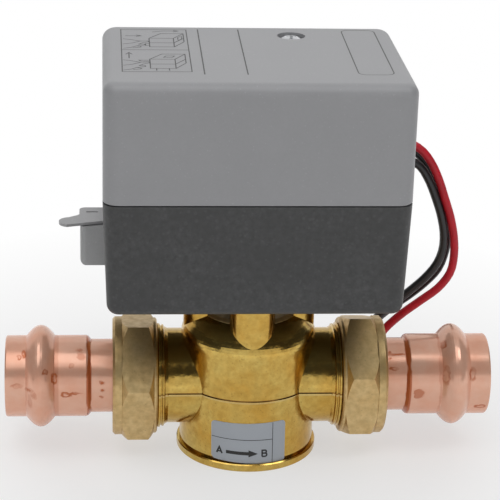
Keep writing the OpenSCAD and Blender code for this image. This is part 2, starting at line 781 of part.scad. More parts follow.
module union_gaskets() {
    color([0.16, 0.16, 0.17])
        for (side = [-1, 1])
            on_pipe(side, [[gasket_x, gasket_in_r], [gasket_x + gasket_t, gasket_in_r],
                [gasket_x + gasket_t, gasket_out_r], [gasket_x, gasket_out_r]]);
}

function bead_arc(r0, r1, w, rise) = [for (i = [0:18]) let(a = 180 - i * 10)
    [bead_x + w * cos(a), r0 + (r1 - r0) * pow(max(0, sin(a)), rise)]];

module press_tailpieces() {
    inner = tube_r - tube_wall;
    outside = concat([[flange_x, flange_r], [flange_x + flange_t, flange_r], [flange_x + flange_t, tube_r],
            [socket_step_x, tube_r], [socket_step_x + 0.35, tube_r + 0.45],
            [socket_step_x + 0.8, socket_r - 0.25], [socket_step_x + 1.4, socket_r]],
        bead_arc(socket_r, bead_r, bead_half_w, 2.2),
        [[socket_end_x - 0.4, socket_r], [socket_end_x, socket_r - 0.3]]);
    inside = concat([[socket_end_x, socket_bore_r + 0.25], [socket_end_x - 0.3, socket_bore_r]],
        [for (i = [0:12]) let(a = i * 15)
            [bead_x + (bead_half_w - 1.3) * cos(a),
                socket_bore_r + (bead_r - 1 - socket_bore_r) * pow(max(0, sin(a)), 0.75)]],
        [[socket_step_x + 2.2, socket_bore_r], [socket_step_x + 1.6, inner], [flange_x, inner]]);
    color([0.78, 0.45, 0.34])
        for (side = [-1, 1])
            on_pipe(side, concat(outside, inside), 96);
}

module press_seals() {
    color([0.08, 0.08, 0.08])
        for (side = [-1, 1])
            translate([side * bead_x, 0, port_axis_z])
                rotate([0, 90, 0])
                    rotate_extrude($fn = 72)
                        translate([socket_bore_r + 0.12 + seal_r, 0])
                            circle(seal_r, $fn = 24);
}

module union_nut(side, turn) {
    corner = nut_af / 2 / cos(30);
    flat = nut_af / 2;
    hex_in = nut_in_x + nut_lip_l;
    hex_out = nut_out_x - nut_collar_l;
    translate([0, 0, port_axis_z])
        mirror([side < 0 ? 1 : 0, 0, 0])
            rotate([0, 90, 0])
                difference() {
                    union() {
                        intersection() {
                            translate([0, 0, nut_in_x])
                                linear_extrude(nut_l)
                                    polygon([for (k = [0:5])
                                        corner * [cos(60 * k + turn), sin(60 * k + turn)]]);
                            rotate_extrude($fn = 96)
                                polygon([[0, hex_in], [flat - 0.2, hex_in], [corner + 0.1, hex_in + 1.9],
                                    [corner + 0.1, hex_out - 2.4], [flat - 0.2, hex_out], [0, hex_out]]);
                        }
                        rotate_extrude($fn = 96)
                            polygon([[0, nut_in_x], [flat - 0.3, nut_in_x], [flat + 0.1, nut_in_x + 0.4],
                                [flat + 0.1, hex_in + 0.5], [flat - 1, hex_in + 0.6], [flat - 1, hex_out - 0.6],
                                [flat + 0.5, hex_out - 0.5], [flat + 0.5, nut_out_x - 0.7],
                                [flat - 0.2, nut_out_x], [0, nut_out_x]]);
                    }
                    translate([0, 0, nut_in_x - 1])
                        cylinder(r = nut_bore_r, h = nut_l - nut_web + 1, $fn = 96);
                    translate([0, 0, nut_in_x])
                        cylinder(r = tube_r + nut_clear, h = nut_l + 1, $fn = 96);
                }
}

module union_nut_a() {
    color([0.66, 0.58, 0.38])
        union_nut(-1, nut_a_turn_deg);
}

module union_nut_b() {
    color([0.66, 0.58, 0.38])
        union_nut(1, nut_b_turn_deg);
}

// ---------- actuator base ----------

module actuator_base() {
    color([0.22, 0.22, 0.23])
        difference() {
            union() {
                difference() {
                    base_solid(0, 0);
                    base_solid(wall, wall);
                }
                for (sx = [-1, 1], sy = [-1, 1])
                    translate([sx * post_x, sy * post_y, floor_z - 0.5])
                        cylinder(r = post_r, h = plate_z - 0.05 - floor_z + 0.5, $fn = 32);
                translate([switch_x, switch_y + 0.4, floor_z - 0.5])
                    cube([switch_l, switch_w - 0.8, switch_low_z - 0.05 - floor_z + 0.5]);
                for (s = [-1, 1])
                    translate([-left_x + 5.5, s * (button_w / 2 + 1.2) - 0.6, floor_z - 0.5])
                        cube([5.5, 1.2, button_z - floor_z + 4]);
            }
            // The stem's hole and the four mounting screws' holes.
            translate([0, stem_y, base_z - 1])
                cylinder(r = stem_r + 0.6, h = wall + 2, $fn = 48);
            for (turn = [0, 90, 180, 270])
                rotate([0, 0, turn])
                    translate([0, -mount_screw_pcr, base_z - 1])
                        cylinder(r = mount_screw_r + 0.15, h = wall + 2, $fn = 32);
            // The lever's slot and the release button's opening in the left wall.
            translate([-left_x - 2, -lever_half_w - 1.6, lever_z - slot_clear])
                cube([wall + 3.6, slot_back_y + lever_half_w + 1.6 + slot_clear,
                    lever_t + 2 * slot_clear + 0.2]);
            translate([-left_x - 2, -button_w / 2 - slot_clear, button_z - slot_clear])
                cube([wall + 3.6, button_w + 2 * slot_clear, button_h + 2 * slot_clear + 0.5]);
            // The plate screws' pilot holes.
            for (sx = [-1, 1], sy = [-1, 1])
                translate([sx * post_x, sy * post_y, plate_z - 9])
                    cylinder(r = plate_screw_r + 0.02, h = 12, $fn = 24);
            // The lead grommet's opening in the back wall.
            translate([0, case_y + 1, 0])
                rotate([90, 0, 0])
                    linear_extrude(wall + 3)
                        grommet_outline(0.05);
        }
}

module grommet_outline(grow) {
    for (s = [-1, 1])
        translate([grommet_x + s * (grommet_half_l - grommet_r), grommet_z])
            circle(grommet_r + grow, $fn = 36);
    translate([grommet_x - (grommet_half_l - grommet_r), grommet_z - grommet_r - grow])
        square([2 * (grommet_half_l - grommet_r), 2 * (grommet_r + grow)]);
}

module mount_screws() {
    color([0.72, 0.72, 0.74])
        for (turn = [0, 90, 180, 270])
            rotate([0, 0, turn])
                translate([0, -mount_screw_pcr, floor_z + 0.02])
                    rotate([0, 0, 20 + turn * 0.4])
                        pan_screw(mount_screw_r, mount_screw_l, mount_head_r, mount_head_h, 0.6);
}

// ---------- drive ----------

// The hole with two flats that the stem drives.
module stem_hole(height) {
    half = stem_r - stem_flat + 0.02;
    intersection() {
        cylinder(r = stem_r + 0.03, h = height, $fn = 48);
        translate([-half, -stem_r - 1, -1])
            cube([2 * half, 2 * stem_r + 2, height + 2]);
    }
}

module drive_hub() {
    color([0.85, 0.85, 0.82])
        translate([0, stem_y, 0])
            difference() {
                union() {
                    translate([0, 0, hub_low_z])
                        cylinder(r = hub_r, h = lever_z - 0.02 - hub_low_z, $fn = 64);
                    translate([0, 0, sector_z + sector_t])
                        cylinder(r = hub_r + 0.3, h = 1, $fn = 64);
                }
                translate([0, 0, hub_low_z - 1])
                    stem_hole(40);
            }
}

module sector_gear() {
    span_first = -2;
    span_last = 5;
    color([0.88, 0.87, 0.82])
        translate([0, stem_y, sector_z])
            difference() {
                linear_extrude(sector_t - 0.03)
                    union() {
                        polygon(concat([[hub_r * 0.2, 0]], gear_points(sector_teeth, span_first, span_last)));
                        circle(hub_r + 2.5, $fn = 64);
                    }
                translate([0, 0, -1])
                    cylinder(r = hub_r + 0.02, h = sector_t + 2, $fn = 64);
                translate([14, 4.2, -1])
                    cylinder(r = 2.2, h = sector_t + 2, $fn = 32);
            }
}

// Points on an arc, for the round corners of flat parts.
function arc(x, y, r, a0, a1, steps = 6) =
    [for (i = [0:steps]) let(a = a0 + (a1 - a0) * i / steps) [x + r * cos(a), y + r * sin(a)]];

// The lever as a flat shape: a strip from the hub to the wall, a plate outside it and a finger tab.
module lever_flat() {
    wall_x = -(left_x - 3);
    half = lever_strip_w / 2;
    corner = 1.8;
    tab_r = 3.2;
    tab_back_y = -1.6;
    polygon(concat(
        [[0, stem_y + half], [wall_x, half], [wall_x - 1, lever_half_w]],
        arc(-lever_end_x + corner, lever_half_w - corner, corner, 90, 180),
        [[-lever_end_x, 0.9], [-lever_end_x - 0.7, 0.1]],
        arc(-tab_end_x + tab_r, tab_back_y - tab_r, tab_r, 98, 255, 12),
        [[wall_x, -half], [0, stem_y - half]]));
}

module manual_lever() {
    color([0.68, 0.68, 0.71])
        difference() {
            union() {
                translate([0, 0, lever_z])
                    linear_extrude(lever_t)
                        lever_flat();
                translate([0, stem_y, lever_z])
                    cylinder(r = hub_r + 1.5, h = lever_t, $fn = 64);
            }
            translate([-lever_end_x + 2, 2.6, lever_z - 1])
                cube([3.4, 0.8, lever_t + 2]);
            translate([0, stem_y, lever_z - 1])
                stem_hole(4);
        }
}

// The washer and screw that hold the lever down on the stem.
module hub_screw() {
    washer_t = 0.6;
    color([0.7, 0.7, 0.72])
        translate([0, stem_y, lever_top_z + 0.02]) {
            difference() {
                cylinder(r = hub_r - 1, h = washer_t, $fn = 48);
                translate([0, 0, -1])
                    cylinder(r = 1.1, h = 3, $fn = 36);
            }
            translate([0, 0, washer_t + 0.02])
                pan_screw(0.88, 5, 2.2, 1.2, 0.5);
        }
}

module return_spring() {
    turns = spring_turns;
    steps = 14;
    n = turns * steps;
    coil = [for (i = [0:n]) let(a = 90 + i * 360 / steps)
        [spring_coil_r * cos(a), stem_y + spring_coil_r * sin(a),
            spring_z + spring_wire_r + i * (spring_h - 2 * spring_wire_r) / n]];
    color([0.6, 0.6, 0.62])
        swept_tube(concat([[7, stem_y + spring_coil_r + 0.1, spring_z + spring_wire_r],
            [3.5, stem_y + spring_coil_r + 0.05, spring_z + spring_wire_r]], coil,
            [[-3.5, stem_y + spring_coil_r + 0.05, spring_z + spring_h - spring_wire_r],
            [-8, stem_y + spring_coil_r + 0.1, spring_z + spring_h - spring_wire_r]]), spring_wire_r, 6);
}

module idler_pin() {
    color([0.72, 0.73, 0.75])
        translate([idler_x, idler_y, 0]) {
            translate([0, 0, floor_z + 0.02])
                cylinder(r = idler_pin_r, h = plate_z - 0.04 - floor_z, $fn = 32);
        }
}

module idler_gear() {
    color([0.9, 0.89, 0.84])
        translate([idler_x, idler_y, 0])
            difference() {
                union() {
                    translate([0, 0, sector_z - 0.4])
                        rotate([0, 0, 180 + 180 / pinion_teeth])
                            whole_gear(pinion_teeth, wheel_z + 0.2 - sector_z + 0.4);
                    translate([0, 0, wheel_z])
                        rotate([0, 0, -90])
                            whole_gear(wheel_teeth, wheel_t);
                    translate([0, 0, wheel_z])
                        cylinder(r = 3.0, h = wheel_t + 2, $fn = 36);
                }
                translate([0, 0, floor_z])
                    cylinder(r = idler_pin_r + idler_clear, h = 30, $fn = 32);
            }
}

module chassis_plate() {
    color([0.7, 0.7, 0.72])
        translate([0, 0, plate_z])
            difference() {
                linear_extrude(plate_t)
                    case_flat(wall + 1.2, 2);
                for (sx = [-1, 1], sy = [-1, 1])
                    translate([sx * post_x, sy * post_y, -1])
                        cylinder(r = plate_screw_r + 0.15, h = 4, $fn = 24);
                translate([idler_x, motor_pinion_y, -1])
                    cylinder(r = 3.4, h = 4, $fn = 36);
                translate([0, stem_y, -1])
                    cylinder(r = 3.2, h = 4, $fn = 36);
                for (s = [-1, 1])
                    translate([motor_x + s * ear_reach * cos(ear_turn),
                        motor_y + s * ear_reach * sin(ear_turn), -1])
                        cylinder(r = plate_screw_r + 0.02, h = 4, $fn = 24);
                translate([cover_screw_x, cover_screw_y, -1])
                    cylinder(r = 3.2, h = 4, $fn = 36);
                translate([switch_x + 1, switch_y + 21.6, -1])
                    cylinder(r = 4.5, h = 4, $fn = 36);
            }
}

module plate_screws() {
    color([0.74, 0.74, 0.76])
        for (sx = [-1, 1], sy = [-1, 1])
            translate([sx * post_x, sy * post_y, plate_z + plate_t + 0.02])
                rotate([0, 0, 30 * sx + 15 * sy])
                    pan_screw(plate_screw_r, plate_screw_l, 2.2, 1.5, 0.6);
}

module gear_case() {
    color([0.78, 0.78, 0.8])
        difference() {
            union() {
                translate([motor_x, motor_y, motor_z + 0.02])
                    cylinder(r = gearcase_r, h = gearcase_h - 0.04, $fn = 72);
                for (s = [-1, 1])
                    translate([motor_x, motor_y, motor_z + 0.02])
                        rotate([0, 0, ear_turn + (s < 0 ? 180 : 0)])
                            linear_extrude(1.2)
                                union() {
                                    translate([0, -3.4])
                                        square([ear_reach, 6.8]);
                                    translate([ear_reach, 0])
                                        circle(3.4, $fn = 36);
                                }
            }
            for (s = [-1, 1])
                translate([motor_x + s * ear_reach * cos(ear_turn),
                    motor_y + s * ear_reach * sin(ear_turn), motor_z - 1])
                    cylinder(r = plate_screw_r + 0.15, h = 4, $fn = 24);
            translate([idler_x, motor_pinion_y, motor_z - 1])
                cylinder(r = idler_pin_r + 0.06, h = 7, $fn = 32);
        }
}

module motor_can() {
    color([0.6, 0.61, 0.62])
        translate([motor_x, motor_y, can_z])
            rotate_extrude($fn = 96)
                polygon([[0, 0], [motor_r - 1, 0], [motor_r, 0.8], [motor_r, motor_h - 1.2],
                    [motor_r - 1.2, motor_h], [5, motor_h], [4.6, motor_h + 1.2], [0, motor_h + 1.2]]);
}

module motor_screws() {
    color([0.74, 0.74, 0.76])
        for (s = [-1, 1])
            translate([motor_x + s * ear_reach * cos(ear_turn), motor_y + s * ear_reach * sin(ear_turn),
                motor_z + 1.24])
                rotate([0, 0, 40 * s])
                    pan_screw(plate_screw_r, 3.2, 2.1, 1.5, 0.6);
}

module motor_pinion() {
    color([0.75, 0.6, 0.32])
        translate([idler_x, motor_pinion_y, 0])
            union() {
                translate([0, 0, wheel_z - 0.4])
                    rotate([0, 0, 90 + 180 / pinion_teeth])
                        whole_gear(pinion_teeth, wheel_t + 0.8);
                translate([0, 0, wheel_z + wheel_t + 0.3])
                    cylinder(r = idler_pin_r, h = motor_z + 4 - wheel_z - wheel_t, $fn = 32);
            }
}

// ---------- switch and button ----------

module end_switch() {
    color([0.12, 0.12, 0.13])
        difference() {
            translate([switch_x, switch_y, switch_low_z])
                cube([switch_l, switch_w, switch_h]);
            translate([plunger_x, switch_y + switch_w - 4, plunger_z])
                rotate([-90, 0, 0])
                    cylinder(r = plunger_r + 0.06, h = 6, $fn = 32);
            for (x = [switch_x + 3, switch_x + switch_l - 3])
                translate([x, switch_y - 1, switch_low_z + 3])
                    rotate([-90, 0, 0])
                        cylinder(r = 1.2, h = switch_w + 2, $fn = 32);
        }
}

module switch_terminals() {
    color([0.75, 0.68, 0.45])
        for (i = [0:2])
            translate([switch_x + 3 + i * 6.2, switch_y - 4.2, switch_low_z + 6.2])
                difference() {
                    cube([2.4, 4.18, 0.5]);
                    translate([1.2, 1.4, -1])
                        cylinder(r = 0.6, h = 3, $fn = 20);
                }
}

module switch_plunger() {
    y0 = switch_y + switch_w - 3.8;
    y1 = lever_front_y - 0.35;
    color([0.8, 0.2, 0.16])
        translate([plunger_x, y0, plunger_z])
            rotate([-90, 0, 0])
                cylinder(r = plunger_r, h = y1 - y0, $fn = 32);
}

module release_button() {
    x_out = -(left_x + button_proud);
    x_in = -(left_x - wall - 5.5);
    color([0.5, 0.5, 0.51])
        intersection() {
            difference() {
                translate([x_out, -button_w / 2, button_z])
                    cube([x_in - x_out, button_w, button_h]);
                translate([-(left_x - wall) + 0.6, -button_w / 2 + 1.4, button_z + 1.4])
                    cube([20, button_w - 2.8, button_h - 2.8]);
            }
            translate([0, 0, button_z])
                linear_extrude(button_h)
                    union() {
                        translate([x_out + 1.8, -button_w / 2])
                            square([30, button_w]);
                        translate([x_out, -button_w / 2 + 1.8])
                            square([30, button_w - 3.6]);
                        for (s = [-1, 1])
                            translate([x_out + 1.8, s * (button_w / 2 - 1.8)])
                                circle(1.8, $fn = 40);
                    }
            translate([0, 20, 0])
                rotate([90, 0, 0])
                    linear_extrude(40)
                        union() {
                            translate([x_out + 1.6, button_z])
                                square([30, button_h]);
                            translate([x_out, button_z + 1.6])
                                square([30, button_h - 1.6]);
                            translate([x_out + 1.6, button_z + 1.6])
                                circle(1.6, $fn = 40);
                        }
        }
}

// ---------- cover ----------

module actuator_cover() {
    lip_drop = 3;
    color([0.62, 0.62, 0.64])
        difference() {
            union() {
                difference() {
                    cover_solid(0, seam_z + seam_gap);
                    cover_solid(wall, seam_z - 1);
                }
                translate([cover_screw_x, cover_screw_y, cover_top_z - screw_recess_d - 6])
                    cylinder(r = screw_recess_r + 1.8, h = screw_recess_d + 5, $fn = 48);
                // The lip that drops inside the base's rim.
                difference() {
                    union() {
                        translate([0, 0, seam_z - lip_drop])
                            linear_extrude(lip_drop + 2)
                                case_flat(wall + 0.45, 2.4);
                        translate([0, 0, seam_z + seam_gap])
                            linear_extrude(2.6)
                                case_flat(wall - 0.5, 2.6);
                    }
                    translate([0, 0, seam_z - 5])
                        linear_extrude(12)
                            case_flat(wall + 1.8, 1.8);
                }
            }
            translate([cover_screw_x, cover_screw_y, cover_top_z - screw_recess_d])
                cylinder(r = screw_recess_r, h = screw_recess_d + 1, $fn = 48);
            translate([cover_screw_x, cover_screw_y, 0])
                cylinder(r = cover_shank_r + 0.25, h = far, $fn = 32);
            // A notch in the lip over the lead grommet.
            translate([grommet_x - grommet_half_l - 1, case_y - wall - 4, seam_z - lip_drop - 1])
                cube([2 * grommet_half_l + 2, 3.95, lip_drop + 0.9]);
        }
}

module cover_screw() {
    color([0.8, 0.8, 0.82])
        translate([cover_screw_x, cover_screw_y, cover_top_z - screw_recess_d + 0.02])
            pan_screw(cover_shank_r, cover_screw_l, cover_head_r, 1.9, 0.9);
}

// The pillar on the chassis plate that takes the cover screw.
module cover_post() {
    top = cover_top_z - screw_recess_d - 6.1;
    color([0.72, 0.73, 0.75])
        translate([cover_screw_x, cover_screw_y, plate_z - 0.8])
            difference() {
                union() {
                    translate([0, 0, plate_t + 0.82])
                        cylinder(r = 3.8, h = top - plate_z - plate_t - 0.02, $fn = 36);
                    cylinder(r = 3.1, h = plate_t + 1.2, $fn = 36);
                }
                translate([0, 0, 8])
                    cylinder(r = cover_shank_r + 0.06, h = far, $fn = 32);
            }
}

// ---------- leads ----------

module lead_grommet() {
    color([0.1, 0.1, 0.1])
        difference() {
            translate([0, case_y + 1.4, 0])
                rotate([90, 0, 0])
                    union() {
                        linear_extrude(wall + 2.8)
                            grommet_outline(0);
                        linear_extrude(1.35)
                            grommet_outline(1);
                    }
            for (i = [-1:1])
                translate([grommet_x + i * lead_pitch, case_y + 3, grommet_z])
                    rotate([90, 0, 0])
                        cylinder(r = lead_r + 0.05, h = 12, $fn = 24);
        }
}

module lead_red() {
    color([0.7, 0.1, 0.16])
        swept_tube(red_path, lead_r);
}

module lead_black_inner() {
    color([0.08, 0.08, 0.09])
        swept_tube(inner_path, lead_r);
}

module lead_black_outer() {
    color([0.08, 0.08, 0.09])
        swept_tube(outer_path, lead_r);
}

module lead_coil(i) {
    translate([coil_x[i], coil_y, coil_low_z])
        rotate_extrude($fn = 40)
            for (a = [0, 1], b = [0, 1])
                translate([coil_r + (a - 0.5) * 2 * lead_r, lead_r + b * 1.86 * lead_r])
                    circle(lead_r * 1.04, $fn = 12);
}

module coil_red() {
    color([0.7, 0.1, 0.16])
        lead_coil(0);
}

module coil_black_inner() {
    color([0.08, 0.08, 0.09])
        lead_coil(2);
}

module coil_black_outer() {
    color([0.08, 0.08, 0.09])
        lead_coil(1);
}
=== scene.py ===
import json
import math
import bpy
import numpy as np
from mathutils import Matrix, Vector


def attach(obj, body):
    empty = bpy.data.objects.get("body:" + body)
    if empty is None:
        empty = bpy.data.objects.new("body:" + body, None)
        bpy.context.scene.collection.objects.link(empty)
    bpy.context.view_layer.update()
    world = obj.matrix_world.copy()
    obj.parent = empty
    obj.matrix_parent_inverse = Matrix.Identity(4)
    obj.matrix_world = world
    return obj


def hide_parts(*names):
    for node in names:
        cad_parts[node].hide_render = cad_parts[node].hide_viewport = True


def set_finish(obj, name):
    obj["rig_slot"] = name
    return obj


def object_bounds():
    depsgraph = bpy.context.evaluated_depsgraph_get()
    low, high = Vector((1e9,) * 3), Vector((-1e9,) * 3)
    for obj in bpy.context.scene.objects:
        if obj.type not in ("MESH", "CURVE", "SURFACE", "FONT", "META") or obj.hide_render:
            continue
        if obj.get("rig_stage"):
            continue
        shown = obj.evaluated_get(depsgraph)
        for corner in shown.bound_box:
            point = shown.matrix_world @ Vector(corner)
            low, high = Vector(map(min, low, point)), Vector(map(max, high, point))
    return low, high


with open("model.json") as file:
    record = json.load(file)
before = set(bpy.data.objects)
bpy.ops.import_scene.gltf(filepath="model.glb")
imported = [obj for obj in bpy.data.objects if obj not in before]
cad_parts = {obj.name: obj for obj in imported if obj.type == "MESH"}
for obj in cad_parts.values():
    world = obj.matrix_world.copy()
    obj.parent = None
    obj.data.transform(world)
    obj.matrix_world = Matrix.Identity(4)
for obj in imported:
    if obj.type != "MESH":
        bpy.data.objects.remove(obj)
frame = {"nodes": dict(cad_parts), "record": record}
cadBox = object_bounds()
cadNodes = frame["nodes"]
mm = 0.001


# Camera.

cameraFit = {
    "position": (-44.05, -539.35, 268.28),
    "yawDeg": -4.65,
    "pitchDeg": 20.773,
    "rollDeg": 1.591,
    "focalPx": 1942.4,
    "framePx": 500,
    "sensorMm": 36.0,
    "clip": (0.01, 20.0),
}


def cameraAxes(fit):
    # The heading turns about the vertical by yaw, drops by pitch, and the picture turns by roll.
    yaw, pitch, roll = (math.radians(fit[k]) for k in ("yawDeg", "pitchDeg", "rollDeg"))
    level = np.array([-math.sin(yaw), math.cos(yaw), 0.0])
    side = np.array([math.cos(yaw), math.sin(yaw), 0.0])
    upright = np.array([0.0, 0.0, 1.0])
    ahead = level * math.cos(pitch) - upright * math.sin(pitch)
    over = upright * math.cos(pitch) + level * math.sin(pitch)
    right = side * math.cos(roll) + over * math.sin(roll)
    up = -side * math.sin(roll) + over * math.cos(roll)
    return right, up, ahead


def makeCamera(fit):
    right, up, ahead = cameraAxes(fit)
    data = bpy.data.cameras.new("viewCamera")
    data.sensor_width = fit["sensorMm"]
    data.lens = fit["focalPx"] / fit["framePx"] * fit["sensorMm"]
    data.clip_start, data.clip_end = fit["clip"]
    camera = bpy.data.objects.new("viewCamera", data)
    bpy.context.scene.collection.objects.link(camera)
    columns = np.eye(4)
    columns[:3, 0], columns[:3, 1], columns[:3, 2] = right, up, -ahead
    columns[:3, 3] = np.array(fit["position"]) * mm
    camera.matrix_world = Matrix(columns.tolist())
    bpy.context.scene.camera = camera


makeCamera(cameraFit)
print("camera made")


# Mesh helpers.


def meshObject(name, points, faces, uv=None, smooth=True):
    # faces is an array of quads or triangles that index the rows of points.
    points = np.asarray(points, float).reshape(-1, 3)
    faces = np.asarray(faces, int)
    mesh = bpy.data.meshes.new(name)
    mesh.vertices.add(len(points))
    mesh.vertices.foreach_set("co", points.ravel())
    sides = faces.shape[1]
    mesh.loops.add(faces.size)
    mesh.loops.foreach_set("vertex_index", faces.ravel())
    mesh.polygons.add(len(faces))
    mesh.polygons.foreach_set("loop_start", np.arange(len(faces)) * sides)
    mesh.polygons.foreach_set("loop_total", np.full(len(faces), sides))
    mesh.polygons.foreach_set("use_smooth", np.full(len(faces), smooth))
    mesh.update(calc_edges=True)
    if uv is not None:
        layer = mesh.uv_layers.new(name="UVMap")
        layer.data.foreach_set("uv", np.asarray(uv, float)[faces.ravel()].ravel())
    mesh.validate()
    piece = bpy.data.objects.new(name, mesh)
    bpy.context.scene.collection.objects.link(piece)
    return piece


def gridFaces(rows, columns, closeRows=False, closeColumns=False):
    # The quads between a grid of points, numbered row by row.
    rowSteps = rows if closeRows else rows - 1
    columnSteps = columns if closeColumns else columns - 1
    i, j = np.meshgrid(np.arange(rowSteps), np.arange(columnSteps), indexing="ij")
    nextRow, nextColumn = (i + 1) % rows, (j + 1) % columns
    corners = [i * columns + j, nextRow * columns + j, nextRow * columns + nextColumn, i * columns + nextColumn]
    return np.stack([c.ravel() for c in corners], axis=1)


def closedFaces(rows, sides):
    # A grid of rings with its first and last ring closed by quads that lie across it like rungs.
    i = np.arange(sides // 2 - 1)
    rungs = np.stack([i, i + 1, sides - 2 - i, sides - 1 - i], axis=1)
    return np.vstack([gridFaces(rows, sides, closeColumns=True), rungs, (rungs + (rows - 1) * sides)[:, ::-1]])


def outward(points, faces):
    # The faces of a closed piece, turned over where the volume they hold is negative.
    a, b, c, d = (np.asarray(points).reshape(-1, 3)[faces[:, k]] for k in range(4))
    volume = (a * (np.cross(b, c) + np.cross(c, d))).sum()
    return faces if volume > 0 else faces[:, ::-1]


def smoothLine(points, step):
    # A centripetal spline through the points: each stretch blends two parabolas, then the line is
    # cut again at even lengths.
    p = np.asarray(points, float)
    p = np.vstack([2 * p[0] - p[1], p, 2 * p[-1] - p[-2]])
    knots = np.concatenate([[0], np.cumsum(np.linalg.norm(np.diff(p, axis=0), axis=1) ** 0.5)])
    pieces = []
    for i in range(1, len(p) - 2):
        t = np.linspace(knots[i], knots[i + 1], 13)[:-1, None]
        k, q = knots[i - 1 : i + 3], p[i - 1 : i + 3]
        a = [(k[j + 1] - t) / (k[j + 1] - k[j]) * q[j] + (t - k[j]) / (k[j + 1] - k[j]) * q[j + 1] for j in range(3)]
        b = [(k[j + 2] - t) / (k[j + 2] - k[j]) * a[j] + (t - k[j]) / (k[j + 2] - k[j]) * a[j + 1] for j in range(2)]
        pieces.append((k[2] - t) / (k[2] - k[1]) * b[0] + (t - k[1]) / (k[2] - k[1]) * b[1])
    return evenLine(np.vstack(pieces + [p[-2:-1]]), step)


def lineLength(line):
    return float(np.linalg.norm(np.diff(line, axis=0), axis=1).sum())


def eased(share):
    # From 0 to 1 with a level start and end: three times the square less twice the cube.
    share = np.clip(share, 0, 1)
    return share * share * (3 - 2 * share)


def evenLine(line, step):
    # The line cut again at even lengths along it, each close to the step.
    along = np.concatenate([[0], np.cumsum(np.linalg.norm(np.diff(line, axis=0), axis=1))])
    at = np.linspace(0, along[-1], max(3, int(round(along[-1] / step)) + 1))
    return np.stack([np.interp(at, along, line[:, k]) for k in range(line.shape[1])], axis=1)


def tubeAlong(name, line, radius, sides):
    # Rings round the line: each ring's frame is the last one turned by the smallest turn that follows
    # the line, and each end has one more ring that shrinks to its middle.
    line = np.asarray(line, float)
    tangent = np.gradient(line, axis=0)
    tangent /= np.linalg.norm(tangent, axis=1)[:, None]
    u = np.cross(tangent[0], [0.3, 0.2, 0.9])
    u /= np.linalg.norm(u)
    frames = []
    for t in tangent:
        u = u - t * u.dot(t)
        u /= np.linalg.norm(u)
        frames.append(u)
    u = np.array(frames)
    v = np.cross(tangent, u)
    line, u, v = (np.vstack([rows[:1], rows, rows[-1:]]) for rows in (line, u, v))
    r = np.full(len(line), radius)
    r[[0, -1]] *= 0.02
    angle = np.linspace(0, 2 * np.pi, sides, endpoint=False)
    ring = np.cos(angle)[None, :, None] * u[:, None] + np.sin(angle)[None, :, None] * v[:, None]
    points = line[:, None] + r[:, None, None] * ring
    along = np.concatenate([[0], np.cumsum(np.linalg.norm(np.diff(line, axis=0), axis=1))])
    uv = np.stack(np.broadcast_arrays(along[:, None], angle[None] / (2 * np.pi)), axis=-1)
    return meshObject(name, points, outward(points, closedFaces(len(line), sides)), uv.reshape(-1, 2))


# Leads.

leadValues = {
    "radius": 1.35,
    "length": 457.0,
    "coilY": 56.5,
    "coilR": 13.8,
    "floorGap": 0.1,
    "stripped": 8.0,
    "strandR": 0.75,
    "step": 2.2,
    "turnSteps": 40,
    "easeShare": 0.16,
}

leadRoutes = {
    "lead_red": {
        "body": "valve",
        "coil": "coil_red",
        "coilX": 36.0,
        "tieDeg": 5.0,
        "points": [(36.4, 31, 82.6), (36.4, 35.2, 82.6), (38.2, 38.6, 83.7), (42, 40, 84.7), (47, 40, 84.8),
                   (52.2, 40, 84), (56.6, 40, 81.5), (60, 40, 77.2), (62.7, 40, 71.7), (65, 40, 65.4),
                   (67.2, 40, 59), (68.7, 40, 52.4), (69.2, 40, 46.4), (68.4, 40, 40.2), (64.9, 40, 34.8),
                   (59, 40, 30), (52.6, 40, 24.9), (47.4, 40, 19.4), (44.4, 40.2, 12.8), (42.6, 40.8, 7.2),
                   (40, 41.2, 3.2)],
    },
    "lead_black_outer": {
        "body": "valve",
        "coil": "coil_black_outer",
        "coilX": 1.8,
        "tieDeg": 90.0,
        "points": [(33, 31, 82.6), (33, 35.2, 82.6), (34.6, 40.2, 82.6), (39, 43, 82.5), (46, 43.6, 82),
                   (52, 43.6, 81.1), (56.4, 43.6, 78.8), (59.7, 43.6, 74.4), (62.4, 43.6, 68.5),
                   (64.7, 43.6, 62.5), (66.4, 43.6, 56.4), (67.3, 43.6, 50), (66.7, 43.6, 45),
                   (64.9, 43.6, 39.8), (61.1, 43.6, 35.2), (55.9, 43.6, 30.6), (50.2, 43.6, 26.3),
                   (44.6, 42.6, 21.6), (39.6, 40.6, 16), (35, 38.8, 10.4), (30, 37.6, 5.6), (24.4, 37.2, 2.6),
                   (18, 37.8, 1.6), (11, 39.6, 1.5)],
    },
    "lead_black_inner": {
        "body": "valve",
        "coil": "coil_black_inner",
        "coilX": -32.4,
        "tieDeg": 105.0,
        "points": [(29.6, 31, 82.6), (29.6, 35.2, 82.6), (31, 38.8, 80.4), (36, 40, 79), (44, 40, 78.9),
                   (51, 40, 78.8), (56.1, 40, 76.4), (59.3, 40, 71.8), (62, 40, 65.6), (64.1, 40, 59.6),
                   (65.4, 40, 53.3), (65.3, 40, 47.9), (63.6, 40, 42.8), (60.1, 40, 38.1), (55.4, 40, 33.6),
                   (50, 39.6, 29), (44.4, 38.8, 24.2), (38.6, 37.6, 18.8), (32.6, 36.2, 13), (26.4, 34.8, 7.8),
                   (19.8, 33.8, 4), (12.6, 33.4, 2), (5, 33.6, 1.5), (-4, 34.6, 1.5), (-14, 37, 1.5),
                   (-22.6, 39.4, 1.5)],
    },
}


